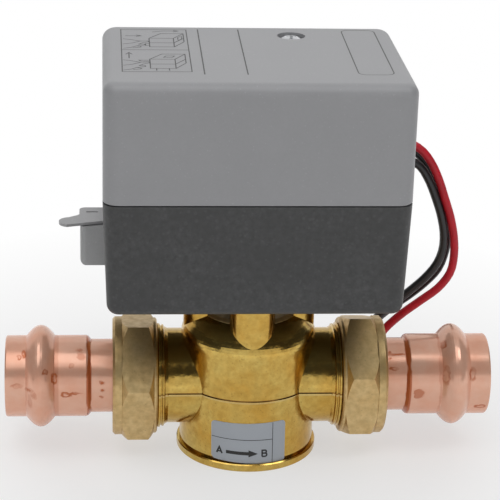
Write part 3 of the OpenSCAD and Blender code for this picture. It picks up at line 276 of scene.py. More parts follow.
def stackPlaces(values):
    # The places of a strand in the coil, as (radius, height): outside low, inside low, inside high,
    # outside high.
    r, low = values["radius"], values["floorGap"] + values["radius"]
    return np.array([[values["coilR"] + r, low], [values["coilR"] - r, low],
                     [values["coilR"] - r, low + 2 * r], [values["coilR"] + r, low + 2 * r]])


def coilLine(values, centreX, turns):
    # Clockwise from the front: the angle falls evenly, and the last stretch of each turn eases to the
    # next place in the stack.
    places, last = stackPlaces(values), 3
    t = np.arange(0, turns, 1 / values["turnSteps"])
    whole = np.minimum(t.astype(int), last)
    ease = eased((t - whole - 1 + values["easeShare"]) / values["easeShare"])
    after = np.minimum(whole + 1, last)
    radius = places[whole, 0] + (places[after, 0] - places[whole, 0]) * ease
    height = places[whole, 1] + (places[after, 1] - places[whole, 1]) * ease
    angle = -np.pi / 2 - 2 * np.pi * t
    return np.stack([centreX + radius * np.cos(angle), values["coilY"] + radius * np.sin(angle), height], axis=1)


def leadLine(values, route):
    # The coil gets as many turns as use up the lead's length.
    approach = np.array(route["points"], float)
    low, high = 1.0, 4.6
    for _ in range(30):
        turns = (low + high) / 2
        line = smoothLine(np.vstack([approach, coilLine(values, route["coilX"], turns)]), values["step"])
        low, high = (turns, high) if lineLength(line) < values["length"] else (low, turns)
    return line, turns


tieValues = {
    "width": 3.6,
    "gap": 0.045,
    "halfThick": 0.035,
    "core": 0.3,
    "step": 0.35,
    "tail": 5.6,
    "tailWide": 0.8,
    "apart": 0.16,
    "twists": 2.0,
    "twistFrom": 0.8,
    "folded": 0.45,
    "foldOver": 1.2,
    "seat": 0.45,
    "rise": 0.6,
    "riseOver": 3.0,
}


def roundLoop(centres, reach, step):
    # The taut line round equal circles whose centres are the corners of a convex shape, taken
    # anticlockwise: at each corner an arc turns from one side's outward direction to the next's.
    sides = np.roll(centres, -1, axis=0) - centres
    facing = np.arctan2(-sides[:, 0], sides[:, 1])
    before = np.roll(facing, 1)
    turn = (facing - before) % (2 * np.pi)
    share = np.linspace(0, 1, 9)
    angle = before[:, None] + turn[:, None] * share[None]
    loop = centres[:, None] + reach * np.stack([np.cos(angle), np.sin(angle)], axis=-1)
    return evenLine(np.vstack([loop.reshape(-1, 2), loop[0, :1]]), step)


def coilTie(name, values, lead, route, turns):
    # A twist tie: a flat strip with a round wire core goes once round the strands that lie at one
    # place of the coil, and its two ends are twisted together beside the top strand. It is laid out
    # with across, radius and height as its axes, and then turned to its place on the coil.
    r = lead["radius"]
    held = stackPlaces(lead)[: int(math.floor(turns + 0.5))]
    fromMiddle = held - held.mean(axis=0)
    order = np.argsort(np.arctan2(fromMiddle[:, 1], fromMiddle[:, 0]))
    loop = roundLoop(held[order], r + values["gap"], values["step"])
    across = np.array([-1, -0.22, -0.12, 0, 0.12, 0.22, 1, 0.22, 0.12, 0, -0.12, -0.22]) * values["width"] / 2
    rise = np.array([0, 0.1, 0.75, 1, 0.75, 0.1, 0, 0, 0, 0, 0, 0]) * values["core"]
    face = np.array([0, 1, 1, 1, 1, 1, 0, -1, -1, -1, -1, -1]) * values["halfThick"] + rise
    normal = np.gradient(loop, axis=0)[:, ::-1] * [1, -1]
    normal /= np.linalg.norm(normal, axis=1)[:, None]
    lift = np.where(normal[:, 1] < -0.5, 0.0, 1.0)[:, None]
    radial = loop[:, :1] + normal[:, :1] * (face[None] - rise[None] * (1 - lift))
    height = loop[:, 1:] + normal[:, 1:] * (face[None] - rise[None] * (1 - lift))
    bent = across[None] / lead["coilR"]
    band = np.stack([-radial * np.sin(bent), radial * np.cos(bent), height], axis=-1)
    # The tail runs outward along the coil's radius from the top strand: the two strips start flat on
    # each other, fold narrower and turn about their middle.
    along = np.linspace(0, values["tail"], 70)[:, None]
    begin = values["twistFrom"]
    spin = 2 * np.pi * values["twists"] * np.clip((along - begin) / (values["tail"] - begin), 0, 1)
    centreUp = held[-1][1] + r + values["seat"] + values["rise"] * eased(along / values["riseOver"])
    narrow = 1 - (1 - values["folded"]) * np.clip(along / values["foldOver"], 0, 1)
    parts, faces = [band.reshape(-1, 3)], [outward(band, gridFaces(len(loop), 12, True, True))]
    for side in (-1, 1):
        flat, away = across[None] * values["tailWide"] * narrow, side * (values["apart"] + face[None])
        sideways = flat * np.cos(spin) - away * np.sin(spin)
        up = flat * np.sin(spin) + away * np.cos(spin)
        out = held[-1][0] + along + 0 * flat
        strip = np.stack([sideways, out, centreUp + up], axis=-1)
        faces.append(outward(strip, closedFaces(len(along), 12)) + sum(len(part) for part in parts))
        parts.append(strip.reshape(-1, 3))
    turn = math.radians(route["tieDeg"] - 90)
    cosine, sine = math.cos(turn), math.sin(turn)
    turned = np.vstack(parts) @ np.array([[cosine, sine, 0], [-sine, cosine, 0], [0, 0, 1]])
    return meshObject(name, (turned + [route["coilX"], lead["coilY"], 0]) * mm, np.vstack(faces))


leadPieces = {}
for leadName, route in leadRoutes.items():
    line, turns = leadLine(leadValues, route)
    line = line * mm
    tube = tubeAlong(leadName + "_jacket", line, leadValues["radius"] * mm, 14)
    ahead = (line[-1] - line[-2]) / np.linalg.norm(line[-1] - line[-2])
    tip = line[-1] + ahead * np.linspace(-0.6, leadValues["stripped"], 9)[:, None] * mm
    bare = tubeAlong(leadName + "_strands", tip, leadValues["strandR"] * mm, 12)
    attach(tube, route["body"])
    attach(bare, route["body"])
    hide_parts(leadName, route["coil"])
    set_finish(tube, "wire_red" if leadName == "lead_red" else "wire_black")
    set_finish(bare, "tube_copper")
    tie = coilTie(leadName + "_tie", tieValues, leadValues, route, turns)
    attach(tie, route["body"])
    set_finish(tie, "seal_rubber")
    tuple(line[0])
    leadPieces[leadName] = {"tube": tube, "bare": bare, "tie": tie}
    print("lead", leadName, round(lineLength(line) / mm, 1), "mm,", round(turns, 2), "turns")


# Label and print.


def finer(points, step):
    # More points on each straight stretch, with the corners kept.
    p = np.asarray(points, float)
    counts = np.maximum(1, np.ceil(np.linalg.norm(np.diff(p, axis=0), axis=1) / step)).astype(int)
    return np.vstack([np.linspace(p[i], p[i + 1], counts[i], endpoint=False) for i in range(len(p) - 1)] + [p[-1:]])


def rounded(points, radius):
    # A closed outline whose corners are quarter turns of that radius.
    p = np.asarray(points, float)
    before, after = np.roll(p, 1, axis=0) - p, np.roll(p, -1, axis=0) - p
    before /= np.linalg.norm(before, axis=1)[:, None]
    after /= np.linalg.norm(after, axis=1)[:, None]
    t = np.linspace(0, np.pi / 2, 6)[None, :, None]
    corner = p[:, None] + radius * (before[:, None] * (1 - np.sin(t)) + after[:, None] * (1 - np.cos(t)))
    line = corner.reshape(-1, 2)
    return np.vstack([line, line[:1]])


def inkRibbons(name, strokes, place, step):
    # Each stroke is a flat ribbon: at every point it reaches half its width to both sides along the
    # line's own normal, and the normals of two stretches share a corner's angle between them.
    points, faces, count = [], [], 0
    for line, width in strokes:
        line = finer(line, step)
        along = np.diff(line, axis=0)
        along /= np.linalg.norm(along, axis=1)[:, None]
        normal = np.stack([-along[:, 1], along[:, 0]], axis=1)
        if np.allclose(line[0], line[-1]):
            joined = np.vstack([normal[-1:], normal, normal[:1]])
        else:
            joined = np.vstack([normal[:1], normal, normal[-1:]])
        shared = joined[:-1] + joined[1:]
        shared /= np.maximum((shared * joined[1:]).sum(axis=1), 0.35)[:, None]
        half = np.interp(np.linspace(0, 1, len(line)), np.linspace(0, 1, np.size(width)), np.atleast_1d(width)) / 2
        sides = np.stack([line - shared * half[:, None], line + shared * half[:, None]], axis=1)
        points.append(place(sides.reshape(-1, 2)))
        faces.append(gridFaces(len(line), 2) + count)
        count += 2 * len(line)
    return meshObject(name, np.vstack(points) * mm, np.vstack(faces), smooth=False)


def between(corners, share):
    # The place at a share across and a share up of a four-cornered field, its corners taken from the
    # low left anticlockwise.
    a, b, c, d = np.asarray(corners, float)
    x, y = share[:, :1], share[:, 1:]
    return a * (1 - x) * (1 - y) + b * x * (1 - y) + c * x * y + d * (1 - x) * y


labelValues = {
    "radius": 20.4,
    "size": (23.1, 13.0),
    "cornersDegMm": [(-34.2, 3.0), (30.8, 1.9), (30.4, 15.7), (-34.8, 15.4)],
    "cornerR": 1.3,
    "thick": 0.07,
    "sink": 0.02,
    "inkLift": 0.012,
    "step": 0.6,
    "ruleX": 18.9,
    "ruleY": 7.6,
    "line": 0.2,
}


def onBarrel(values, lift):
    # Flat millimetres of the label, laid round the upright barrel: the angle runs from the front.
    def place(flat):
        at = between(values["cornersDegMm"], flat / np.array(values["size"]))
        angle = np.radians(at[:, 0])
        reach = values["radius"] + lift
        return np.stack([reach * np.sin(angle), -reach * np.cos(angle), at[:, 1]], axis=1)
    return place


def makeLabel(values):
    # The foil: rows from the lower to the upper edge, drawn in at both ends of a row by the corner
    # circle, with a first and last row and column that drop to the barrel.
    wide, tall = values["size"]
    r = values["cornerR"]
    corner, plain = np.linspace(0, r, 9), np.linspace(r, tall - r, 14)[1:-1]
    rows = np.concatenate([[0], corner, plain, np.linspace(tall - r, tall, 9), [tall]])
    edge = np.clip(r - np.minimum(rows, tall - rows), 0, r)
    inset = r - np.sqrt(np.maximum(r * r - edge * edge, 0))
    share = np.concatenate([[0], np.linspace(0, 1, 61), [1]])
    x = inset[:, None] + (wide - 2 * inset[:, None]) * share[None]
    y = np.broadcast_to(rows[:, None], x.shape)
    down = np.zeros(x.shape, bool)
    down[[0, -1]], down[:, [0, -1]] = True, True
    flat = np.stack([x, y], axis=-1).reshape(-1, 2)
    edge, face = onBarrel(values, -values["sink"])(flat), onBarrel(values, values["thick"])(flat)
    points = np.where(down.reshape(-1, 1), edge, face)
    return meshObject("foil_label", points * mm, gridFaces(*x.shape)[:, ::-1], flat / wide, smooth=False)


def labelInk(values):
    # The label's fields, with a flow arrow from port A to port B.
    def bowl(low, high, reach):
        # Half an ellipse that bulges to the right, from its high end to its low end.
        middle, half, bend = (low + high) / 2, (high - low) / 2, np.linspace(np.pi / 2, -np.pi / 2, 9)
        return [(0.15 + reach * math.cos(a), middle + half * math.sin(a)) for a in bend]

    tall = values["size"][1]
    line, x, y = values["line"], values["ruleX"], values["ruleY"]
    letterA = [([(-0.86, 0), (0, 2.05), (0.86, 0)], 0.56), ([(-0.55, 0.62), (0.55, 0.62)], 0.42)]
    letterB = [([(-0.7, 0), (-0.7, 2.0)] + bowl(1.06, 2.0, 0.45) + [(-0.7, 1.06)], 0.5),
               ([(-0.7, 1.06)] + bowl(0, 1.06, 0.6) + [(-0.7, 0)], 0.5)]
    strokes = [([(x, 0.15), (x, tall - 0.15)], line), ([(0.15, y), (x, y)], line),
               ([(4.8, 3.2), (12.0, 3.2)], 1.1), ([(11.6, 3.2), (14.4, 3.2)], (2.3, 0.04))]
    for letter, left, low in ((letterA, 2.7, 2.3), (letterB, 16.4, 2.3)):
        strokes += [(np.array(points) + [left, low], width) for points, width in letter]
    return inkRibbons("label_ink", strokes, onBarrel(values, values["thick"] + values["inkLift"]), values["step"])


coverPrintValues = {
    "top": 123.2,
    "lift": 0.015,
    "line": 0.34,
    "ruleLine": 0.39,
    "step": 4.0,
    "picture": [(-38.5, -19.6), (-19.2, -19.4), (-19.1, 27.1), (-38.5, 27.1)],
    "pictureSize": (20.6, 46.8),
    "rules": [((-15.8, -22.0), (-15.6, 27.8)), ((-3.8, -22.0), (-3.5, 27.8))],
    "box": [(27.2, -21.5), (37.2, -21.4), (37.5, 27.9), (27.6, 27.9)],
    "boxCorner": 2.2,
}


def coverInk(values):
    # Two line drawings of the operator, one over the other: the lever moved along its slot, and the
    # button pushed in. Ruled lines and an empty rounded box beside them.
    def onTop(flat):
        return np.hstack([flat, np.full((len(flat), 1), values["top"] + values["lift"])])

    def inPicture(flat):
        return onTop(between(values["picture"], flat / np.array(values["pictureSize"])))

    line, (wide, tall) = values["line"], values["pictureSize"]
    half = tall / 2
    block = [[(8.4, 3.4), (8.4, 13.2), (12.2, 18.8), (19.2, 18.8), (19.2, 9.2), (16.0, 3.4), (8.4, 3.4)],
             [(8.4, 13.2), (16.0, 13.2), (19.2, 18.8)], [(16.0, 13.2), (16.0, 3.4)],
             [(8.4, 8.0), (16.0, 8.0), (19.2, 13.2)]]
    hand = [[(0.3, 6.6), (3.0, 7.6), (5.6, 9.8), (8.0, 10.0), (8.4, 9.2), (6.4, 8.0), (5.0, 6.2)],
            [(5.0, 6.2), (6.8, 6.4), (7.0, 5.4), (4.4, 4.4), (2.6, 2.6), (0.3, 1.6)],
            [(0.3, 12.4), (2.6, 11.6), (5.6, 9.8)], [(4.4, 4.4), (5.8, 3.6), (5.4, 2.8), (3.2, 2.2)]]
    first = block + hand + [[(8.4, 10.8), (5.8, 11.0), (5.0, 12.2), (8.4, 12.0)], [(2.2, 14.2), (2.2, 20.0)],
                            [(1.2, 18.4), (2.2, 20.4), (3.2, 18.4)], [(10.2, 1.2), (10.2, 3.4)],
                            [(14.0, 1.2), (14.0, 3.4)],
                            [(12.6, 15.2), (15.2, 15.2), (16.0, 16.8), (13.4, 16.8), (12.6, 15.2)]]
    second = block + hand + [[(8.4, 4.8), (7.2, 4.8), (7.2, 7.0), (8.4, 7.0)], [(1.0, 16.0), (5.6, 16.0)],
                             [(4.4, 15.0), (6.0, 16.0), (4.4, 17.0)],
                             [(17.4, 14.2), (18.6, 16.2), (18.6, 12.6), (17.4, 10.8), (17.4, 14.2)],
                             [(9.6, 20.6), (13.0, 21.8), (17.4, 21.8)], [(16.2, 20.9), (17.8, 21.8), (16.2, 22.7)]]
    border = [[(0, 0), (wide, 0), (wide, tall), (0, tall), (0, 0)], [(0, half), (wide, half)]]
    drawn = [(np.array(p), line) for p in border + first]
    drawn += [(np.array(p) + [0.3, half], line) for p in second]
    ruled = [(np.array(p), values["ruleLine"]) for p in values["rules"]]
    ruled.append((rounded(values["box"], values["boxCorner"]), line))
    return [inkRibbons("cover_picture", drawn, inPicture, values["step"]),
            inkRibbons("cover_rules", ruled, onTop, values["step"])]


foilLabel, foilInk, coverPrint = makeLabel(labelValues), labelInk(labelValues), coverInk(coverPrintValues)
for piece, body, slotName in [(foilLabel, "valve", "stainless"), (foilInk, "valve", "switch_black"),
                              *[(piece, "cover", "switch_black") for piece in coverPrint]]:
    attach(piece, body)
    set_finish(piece, slotName)
print("label and print made")


# Cover screw.

coverScrewValues = {
    "place": (12.0, 21.0, 119.82),
    "headR": 3.4,
    "rim": 2.3,
    "crown": 3.3,
    "corner": (0.12, 0.25),
    "lip": 0.06,
    "poleR": 0.03,
    "shankR": 1.6,
    "shankL": 27.5,
    "shankTip": (0.3, 0.5),
    "crossHalf": 0.4,
    "crossReach": 2.1,
    "crossDepth": 1.3,
    "crossSoft": (0.1, 0.5),
}


def coverScrew(values):
    # A raised head over its shank: rings on a profile that starts under the shank, goes out under the
    # head, up its side and in over a crown, which falls with the square of the radius. A cross is cut
    # in the crown: the depth goes down where either arm's own distance is under its half width.
    r, rim, crown = values["headR"], values["rim"], values["crown"]
    shank, end, pole = values["shankR"], -values["shankL"], values["poleR"]
    (inward, down), (tipIn, tipUp) = values["corner"], values["shankTip"]
    side = [(pole, end), (shank - tipIn, end), (shank, end + tipUp), (shank, 0.0), (r, 0.0), (r, rim - down),
            (r - inward, rim)]
    inner = np.linspace(r - down, pole, 44)
    over = np.stack([inner, rim + values["lip"] + (crown - rim) * (1 - (inner / r) ** 2)], axis=1)
    profile = np.vstack([side, over])
    turn = np.linspace(0, 2 * np.pi, 160, endpoint=False)
    x = profile[:, :1] * np.cos(turn)[None]
    y = profile[:, :1] * np.sin(turn)[None]
    z = np.broadcast_to(profile[:, 1:], x.shape).copy()
    nearest = np.minimum(np.abs(x), np.abs(y))
    farthest = np.maximum(np.abs(x), np.abs(y))
    wallSoft, endSoft = values["crossSoft"]
    inArm = np.clip((values["crossHalf"] - nearest) / wallSoft, 0, 1)
    inArm *= np.clip((values["crossReach"] - farthest) / endSoft, 0, 1)
    z[len(side):] -= (inArm * values["crossDepth"])[len(side):]
    points = np.stack([x, y, z], axis=-1) + values["place"]
    return meshObject("cover_screw_head", points * mm, outward(points, closedFaces(*x.shape)))


screwPiece = coverScrew(coverScrewValues)
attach(screwPiece, "screw")
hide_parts("cover_screw")
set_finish(screwPiece, "zinc_steel")
print("cover screw made")


# Shader helpers.


def put(tree, kind, inputs=None, **attributes):
    # Adds a node: an input is given a socket to link or a plain value.
    node = tree.nodes.new(kind)
    for name, value in attributes.items():
        setattr(node, name, value)
    for name, value in (inputs or {}).items():
        if isinstance(value, bpy.types.NodeSocket):
            tree.links.new(value, node.inputs[name])
        else:
            node.inputs[name].default_value = value
    return node


def sums(tree, operation, first, second=0.0, third=0.0, clamp=False):
    values = {0: first, 1: second, 2: third}
    return put(tree, "ShaderNodeMath", values, operation=operation, use_clamp=clamp).outputs[0]


def vectors(tree, operation, first, second=(0, 0, 0), third=(0, 0, 0)):
    node = put(tree, "ShaderNodeVectorMath", {0: first, 1: second, 2: third}, operation=operation)
    return node.outputs["Value" if operation == "LENGTH" else "Vector"]


def axesOf(tree, vector):
    return put(tree, "ShaderNodeSeparateXYZ", {"Vector": vector}).outputs


def vectorOf(tree, x, y, z=0.0):
    return put(tree, "ShaderNodeCombineXYZ", {"X": x, "Y": y, "Z": z}).outputs[0]


def noise(tree, vector, scale, detail=2.0, output="Fac", **inputs):
    node = put(tree, "ShaderNodeTexNoise", {"Vector": vector, "Scale": scale, "Detail": detail, **inputs})
    return node.outputs[output]


def spread(tree, value, fromLow, fromHigh, toLow=0.0, toHigh=1.0):
    inputs = {"Value": value, "From Min": fromLow, "From Max": fromHigh, "To Min": toLow, "To Max": toHigh}
    return put(tree, "ShaderNodeMapRange", inputs, clamp=True).outputs["Result"]


def mixColour(tree, amount, first, second):
    # The colour sockets of this node share their names with other sockets, so they go by number.
    node = put(tree, "ShaderNodeMix", {0: amount, 6: first, 7: second}, data_type="RGBA", clamp_factor=True)
    return node.outputs[2]


def layer(tree, base, mask, share, colour):
    return mixColour(tree, sums(tree, "MULTIPLY", mask, share), base, colour)


def shade(colour, factor=1.0, lift=0.0):
    return (*[min(1, c * factor + lift) for c in colour], 1)


def newGroup(name, inputs, outputs):
    # inputs maps each socket's name to its default, and a vector's default is None.
    tree = bpy.data.node_groups.new(name, "ShaderNodeTree")
    for label, value in inputs.items():
        kind = "NodeSocketVector" if value is None else "NodeSocketFloat"
        socket = tree.interface.new_socket(label, in_out="INPUT", socket_type=kind)
        if value is not None:
            socket.default_value = value
    for label in outputs:
        tree.interface.new_socket(label, in_out="OUTPUT", socket_type="NodeSocketFloat")
    return tree, put(tree, "NodeGroupInput").outputs, put(tree, "NodeGroupOutput").inputs


def mottleGroup():
    # Broad cloudiness with finer cloudiness in it, from 0 to 1.
    tree, given, out = newGroup("mottle", {"Vector": None, "Scale": 60.0, "Contrast": 1.0}, ["Value"])
    centred = sums(tree, "SUBTRACT", noise(tree, given["Vector"], given["Scale"], 4.0, Roughness=0.6), 0.5)
    lifted = sums(tree, "MULTIPLY_ADD", centred, sums(tree, "MULTIPLY", given["Contrast"], 2.2), 0.5, clamp=True)
    tree.links.new(lifted, out["Value"])
    return tree


def speckGroup():
    # Small separate dots: a cell has one where its own random number is under Share, and the dot's
    # size varies from cell to cell.
    tree, given, out = newGroup("specks", {"Vector": None, "Scale": 900.0, "Share": 0.2, "Size": 0.35}, ["Mask"])
    cells = put(tree, "ShaderNodeTexVoronoi", {"Vector": given["Vector"], "Scale": given["Scale"]})
    parts = put(tree, "ShaderNodeSeparateColor", {"Color": cells.outputs["Color"]})
    chosen = sums(tree, "LESS_THAN", parts.outputs[0], given["Share"])
    reach = sums(tree, "MULTIPLY", given["Size"], sums(tree, "MULTIPLY_ADD", parts.outputs[1], 0.8, 0.4))
    near = sums(tree, "SUBTRACT", 1.0, sums(tree, "DIVIDE", cells.outputs["Distance"], reach), clamp=True)
    tree.links.new(sums(tree, "MULTIPLY", chosen, spread(tree, near, 0.0, 0.5)), out["Mask"])
    return tree


def latheGroup():
    # Fine rings round the X axis: noise that changes along X and hardly round it.
    tree, given, out = newGroup("latheRings", {"Vector": None, "Pitch": 0.00045}, ["Value"])
    axes, roundScale = axesOf(tree, given["Vector"]), 60.0
    squeezed = vectorOf(tree, sums(tree, "DIVIDE", axes["X"], given["Pitch"]),
                        *[sums(tree, "MULTIPLY", axes[label], roundScale) for label in "YZ"])
    tree.links.new(noise(tree, squeezed, 1.0), out["Value"])
    return tree


def drawGroup():
    # Long faint lines along X, as a die leaves on drawn tube.
    tree, given, out = newGroup("drawLines", {"Vector": None, "Scale": 900.0}, ["Value"])
    axes, stretch = axesOf(tree, given["Vector"]), 0.03
    thin = vectorOf(tree, sums(tree, "MULTIPLY", axes["X"], stretch), axes["Y"], axes["Z"])
    tree.links.new(noise(tree, thin, given["Scale"], 3.0), out["Value"])
    return tree


# The skin of the tubes is measured along X and round it, in mm, from the side that faces the front.
# A mark is (along, degrees round, half length, half breadth, fill), with its outline darker than its fill.
stainValues = {
    "step": (48.1, 1.0),
    "bead": (57.9, 0.35),
    "reach": 0.95,
    "soft": 0.35,
    "axisZ": 22.4,
    "skinR": 12.3,
    "stir": 1.1,
    "line": 0.24,
    "marks": [
        (-50.5, 52, 1.1, 1.2, 0.55), (-50.9, 62, 0.8, 0.5, 0.6), (-58.3, 19.5, 0.7, 1.4, 0.15),
        (-44.2, 12.3, 0.55, 0.5, 1), (-44.1, 0.4, 0.5, 0.5, 1), (-44.3, -11, 0.3, 0.3, 0.8),
        (-54.8, -3.5, 1.2, 0.8, 0.1), (-52.9, -1.5, 0.8, 0.12, 0.6), (-65.8, 6, 0.8, 0.4, 0.8),
        (-64.4, 0.5, 0.8, 0.7, 0.5), (-65.6, -9, 0.4, 1.3, 0.3), (-68.8, 50.7, 0.5, 0.6, 0.2),
        (-67.4, 56, 0.35, 0.9, 0.15), (-69.5, 9.6, 1.3, 0.5, 0.3), (-53.3, 37, 0.6, 0.6, 0.3),
        (-61.0, 28, 0.5, 0.4, 0.3), (51.2, -5.7, 1.4, 1.5, 0.72), (59.1, 21, 0.85, 2.2, 0.05),
        (67.3, 22.5, 0.8, 1.6, 0.08), (70.4, -31, 1.3, 0.7, 0.25), (43.7, 55.5, 1.7, 0.18, 0.8),
        (42.7, 59, 0.3, 0.3, 1), (42.7, 48.3, 0.3, 0.3, 1), (58.9, 66, 0.8, 1.2, 0.6),
        (43.6, 32, 0.9, 0.5, 0.15), (-52, 150, 1.6, 1.1, 0.3), (-68, 205, 1.0, 1.6, 0.1),
        (54, 170, 1.3, 1.3, 0.4), (66, 140, 0.9, 1.5, 0.15),
    ],
}


def stainGroup(values):
    # Where water and flux have dried: along the socket's step and the bead's inner side, patchy round
    # the tube, and as single marks. A mark's outline is where the distance from its middle, as a share
    # of its half sizes, is one, on a skin that noise has stirred.
    tree, given, out = newGroup("driedStains", {"Vector": None}, ["Mask"])
    axes = axesOf(tree, given["Vector"])
    along = sums(tree, "ABSOLUTE", axes["X"])
    patch = noise(tree, given["Vector"], 130.0, 3.0)
    reach = sums(tree, "MULTIPLY", spread(tree, patch, 0.2, 0.5), values["reach"] * mm)
    total = 0.0
    for place, weight in (values["step"], values["bead"]):
        away = sums(tree, "ABSOLUTE", sums(tree, "SUBTRACT", along, place * mm))
        band = spread(tree, sums(tree, "SUBTRACT", reach, away), 0.0, values["soft"] * mm)
        total = sums(tree, "MAXIMUM", total, sums(tree, "MULTIPLY", band, weight))
    height = sums(tree, "SUBTRACT", axes["Z"], values["axisZ"] * mm)
    turn = sums(tree, "ARCTAN2", height, sums(tree, "MULTIPLY", axes["Y"], -1.0))
    skin = vectorOf(tree, sums(tree, "DIVIDE", axes["X"], mm), sums(tree, "MULTIPLY", turn, values["skinR"]))
    centred = vectors(tree, "SUBTRACT", noise(tree, given["Vector"], 700.0, 1.0, "Color"), (0.5, 0.5, 0.5))
    stirred = vectors(tree, "MULTIPLY_ADD", centred, (values["stir"], values["stir"], 0), skin)
    for x, degrees, halfLong, halfBroad, fill in values["marks"]:
        middle = (x, math.radians((degrees + 180) % 360 - 180) * values["skinR"], 0)
        off = vectors(tree, "SUBTRACT", stirred, middle)
        far = vectors(tree, "LENGTH", vectors(tree, "MULTIPLY", off, (1 / halfLong, 1 / halfBroad, 0)))
        line = values["line"] / min(halfLong, halfBroad)
        rim = spread(tree, sums(tree, "ABSOLUTE", sums(tree, "SUBTRACT", far, 1.0)), 1.6 * line, 0.5 * line)
        inside = spread(tree, far, 1.0 + 0.5 * line, 1.0 - 0.5 * line, 0.0, fill)
        broken = sums(tree, "MULTIPLY", rim, spread(tree, patch, 0.4, 0.55, 0.3, 0.95))
        total = sums(tree, "MAXIMUM", total, sums(tree, "MAXIMUM", broken, inside))
    tree.links.new(total, out["Mask"])
    return tree


groups = {"mottle": mottleGroup(), "specks": speckGroup(), "latheRings": latheGroup(), "drawLines": drawGroup(),
          "driedStains": stainGroup(stainValues)}


def effect(tree, name, vector, **inputs):
    # The group's sockets exist once its tree is set, so they are filled in afterwards.
    node = put(tree, "ShaderNodeGroup", node_tree=groups[name])
    tree.links.new(vector, node.inputs["Vector"])
    for label, value in inputs.items():
        node.inputs[label].default_value = value
    return node.outputs[0]


def startMaterial(name, colour, roughness, metallic=0.0, **sockets):
    material = bpy.data.materials.new(name)
    material.use_nodes = True
    tree = material.node_tree
    shader = tree.nodes["Principled BSDF"]
    shader.inputs["Base Color"].default_value = (*colour, 1.0)
    shader.inputs["Roughness"].default_value = roughness
    shader.inputs["Metallic"].default_value = metallic
    for label, value in sockets.items():
        shader.inputs[label.replace("_", " ")].default_value = value
    place = put(tree, "ShaderNodeTexCoord").outputs["Object"]
    return material, tree, shader, place


def dress(tree, shader, colour, mask=None, smoothest=0.0, roughest=1.0):
    # Links the colour, and a roughness that runs between the two with the mask.
    tree.links.new(colour, shader.inputs["Base Color"])
    if mask is not None:
        tree.links.new(spread(tree, mask, 0, 1, smoothest, roughest), shader.inputs["Roughness"])


def addBump(tree, shader, height, strength, distance):
    bump = put(tree, "ShaderNodeBump", {"Height": height, "Strength": strength, "Distance": distance * mm})
    if shader.inputs["Normal"].is_linked:
        tree.links.new(shader.inputs["Normal"].links[0].from_socket, bump.inputs["Normal"])
    tree.links.new(bump.outputs[0], shader.inputs["Normal"])


def grey(level):
    return (level, level, level)


# Materials.


def plasticMaterial(name, colour, roughness, flecks, grain, tint=0.06, cell=1500.0):
    # Moulded plastic: a fine spark-eroded grain, faint clouds and sparse paler flecks.
    material, tree, shader, place = startMaterial(name, colour, roughness)
    cloud = effect(tree, "mottle", place, Scale=70.0)
    grit = effect(tree, "mottle", place, Scale=cell, Contrast=1.2)
    fleck = effect(tree, "specks", place, Scale=cell, Share=flecks, Size=0.4)
    shaded = mixColour(tree, cloud, shade(colour, 1 - tint), shade(colour, 1 + tint))
    shaded = layer(tree, shaded, grit, tint * 3, shade(colour, 0.62))
    shaded = layer(tree, shaded, fleck, 0.16, shade(colour, 1.8, 0.03))
    dress(tree, shader, shaded, cloud, roughness - 0.05, roughness + 0.05)
    addBump(tree, shader, noise(tree, place, 2200.0), grain, 0.08)
    return material


# Heights are in mm from the plane where the forging's two dies met, and each band fades in over
# the first pair and out over the second. Both bands are painted light: a dark line of painted shade
# just above the ridge, and a pale band of painted highlight just under it.
ridgeValues = {
    # Painted shade: a dark brown line just above the ridge.
    "paintedShade": {"fadeIn": (0.12, 0.2), "fadeOut": (0.62, 0.4), "share": 0.75, "colour": (0.16, 0.06, 0.02)},
    # Painted highlight: a pale band along and just under the ridge.
    "paintedHighlight": {"fadeIn": (-0.6, -0.45), "fadeOut": (0.1, 0.0), "share": 0.4, "colour": (0.75, 0.62, 0.34)},
}


def brassMaterial(name, colour, warm, dark, roughness, pits, rings=False, tarnish=0.3, waviness=0.1, ridgeZ=None):
    # Brass: clouds from yellow to warm, finer tarnish, faint small pits, lathe rings where turned, and
    # on a forging a painted shade line just above the dies' ridge and a painted highlight band just under it.
    material, tree, shader, place = startMaterial(name, colour, roughness, 1.0)
    cloud = effect(tree, "mottle", place, Scale=75.0, Contrast=1.6)
    small = effect(tree, "mottle", place, Scale=520.0, Contrast=1.5)
    wave = effect(tree, "mottle", place, Scale=170.0)
    pit = effect(tree, "specks", place, Scale=1500.0, Share=pits, Size=0.4)
    shaded = mixColour(tree, cloud, shade(colour), shade(warm))
    shaded = layer(tree, shaded, small, tarnish, shade(dark))
    shaded = layer(tree, shaded, pit, 0.3, shade(dark, 0.45))
    if ridgeZ is not None:
        above = sums(tree, "SUBTRACT", axesOf(tree, place)["Z"], ridgeZ * mm)
        # Paints the ridge's shade line and highlight band into the colour.
        for band in ridgeValues.values():
            fades = [spread(tree, above, *[z * mm for z in band[label]]) for label in ("fadeIn", "fadeOut")]
            shaded = layer(tree, shaded, sums(tree, "MULTIPLY", *fades), band["share"], shade(band["colour"]))
    dress(tree, shader, shaded, small, roughness - 0.05, roughness + 0.07)
    if rings:
        addBump(tree, shader, effect(tree, "latheRings", place, Pitch=0.00035), 0.3, 0.03)
    addBump(tree, shader, small, 0.14, 0.05)
    addBump(tree, shader, wave, waviness, 0.2)
    return material


def copperMaterial(name):
    # Copper tube: a soft pink pickled skin over the metal, drawn lines and dried stains.
    material, tree, shader, place = startMaterial(name, (0.96, 0.57, 0.42), 0.2, 0.3)
    cloud = effect(tree, "mottle", place, Scale=120.0, Contrast=1.3)
    lines = effect(tree, "drawLines", place, Scale=1100.0)
    stain = effect(tree, "driedStains", place)
    shaded = mixColour(tree, cloud, (0.94, 0.56, 0.41, 1), (0.91, 0.46, 0.31, 1))
    dress(tree, shader, layer(tree, shaded, stain, 0.92, (0.52, 0.115, 0.022, 1)), cloud, 0.17, 0.24)
    addBump(tree, shader, lines, 0.15, 0.03)
    addBump(tree, shader, cloud, 0.12, 0.08)
    return material


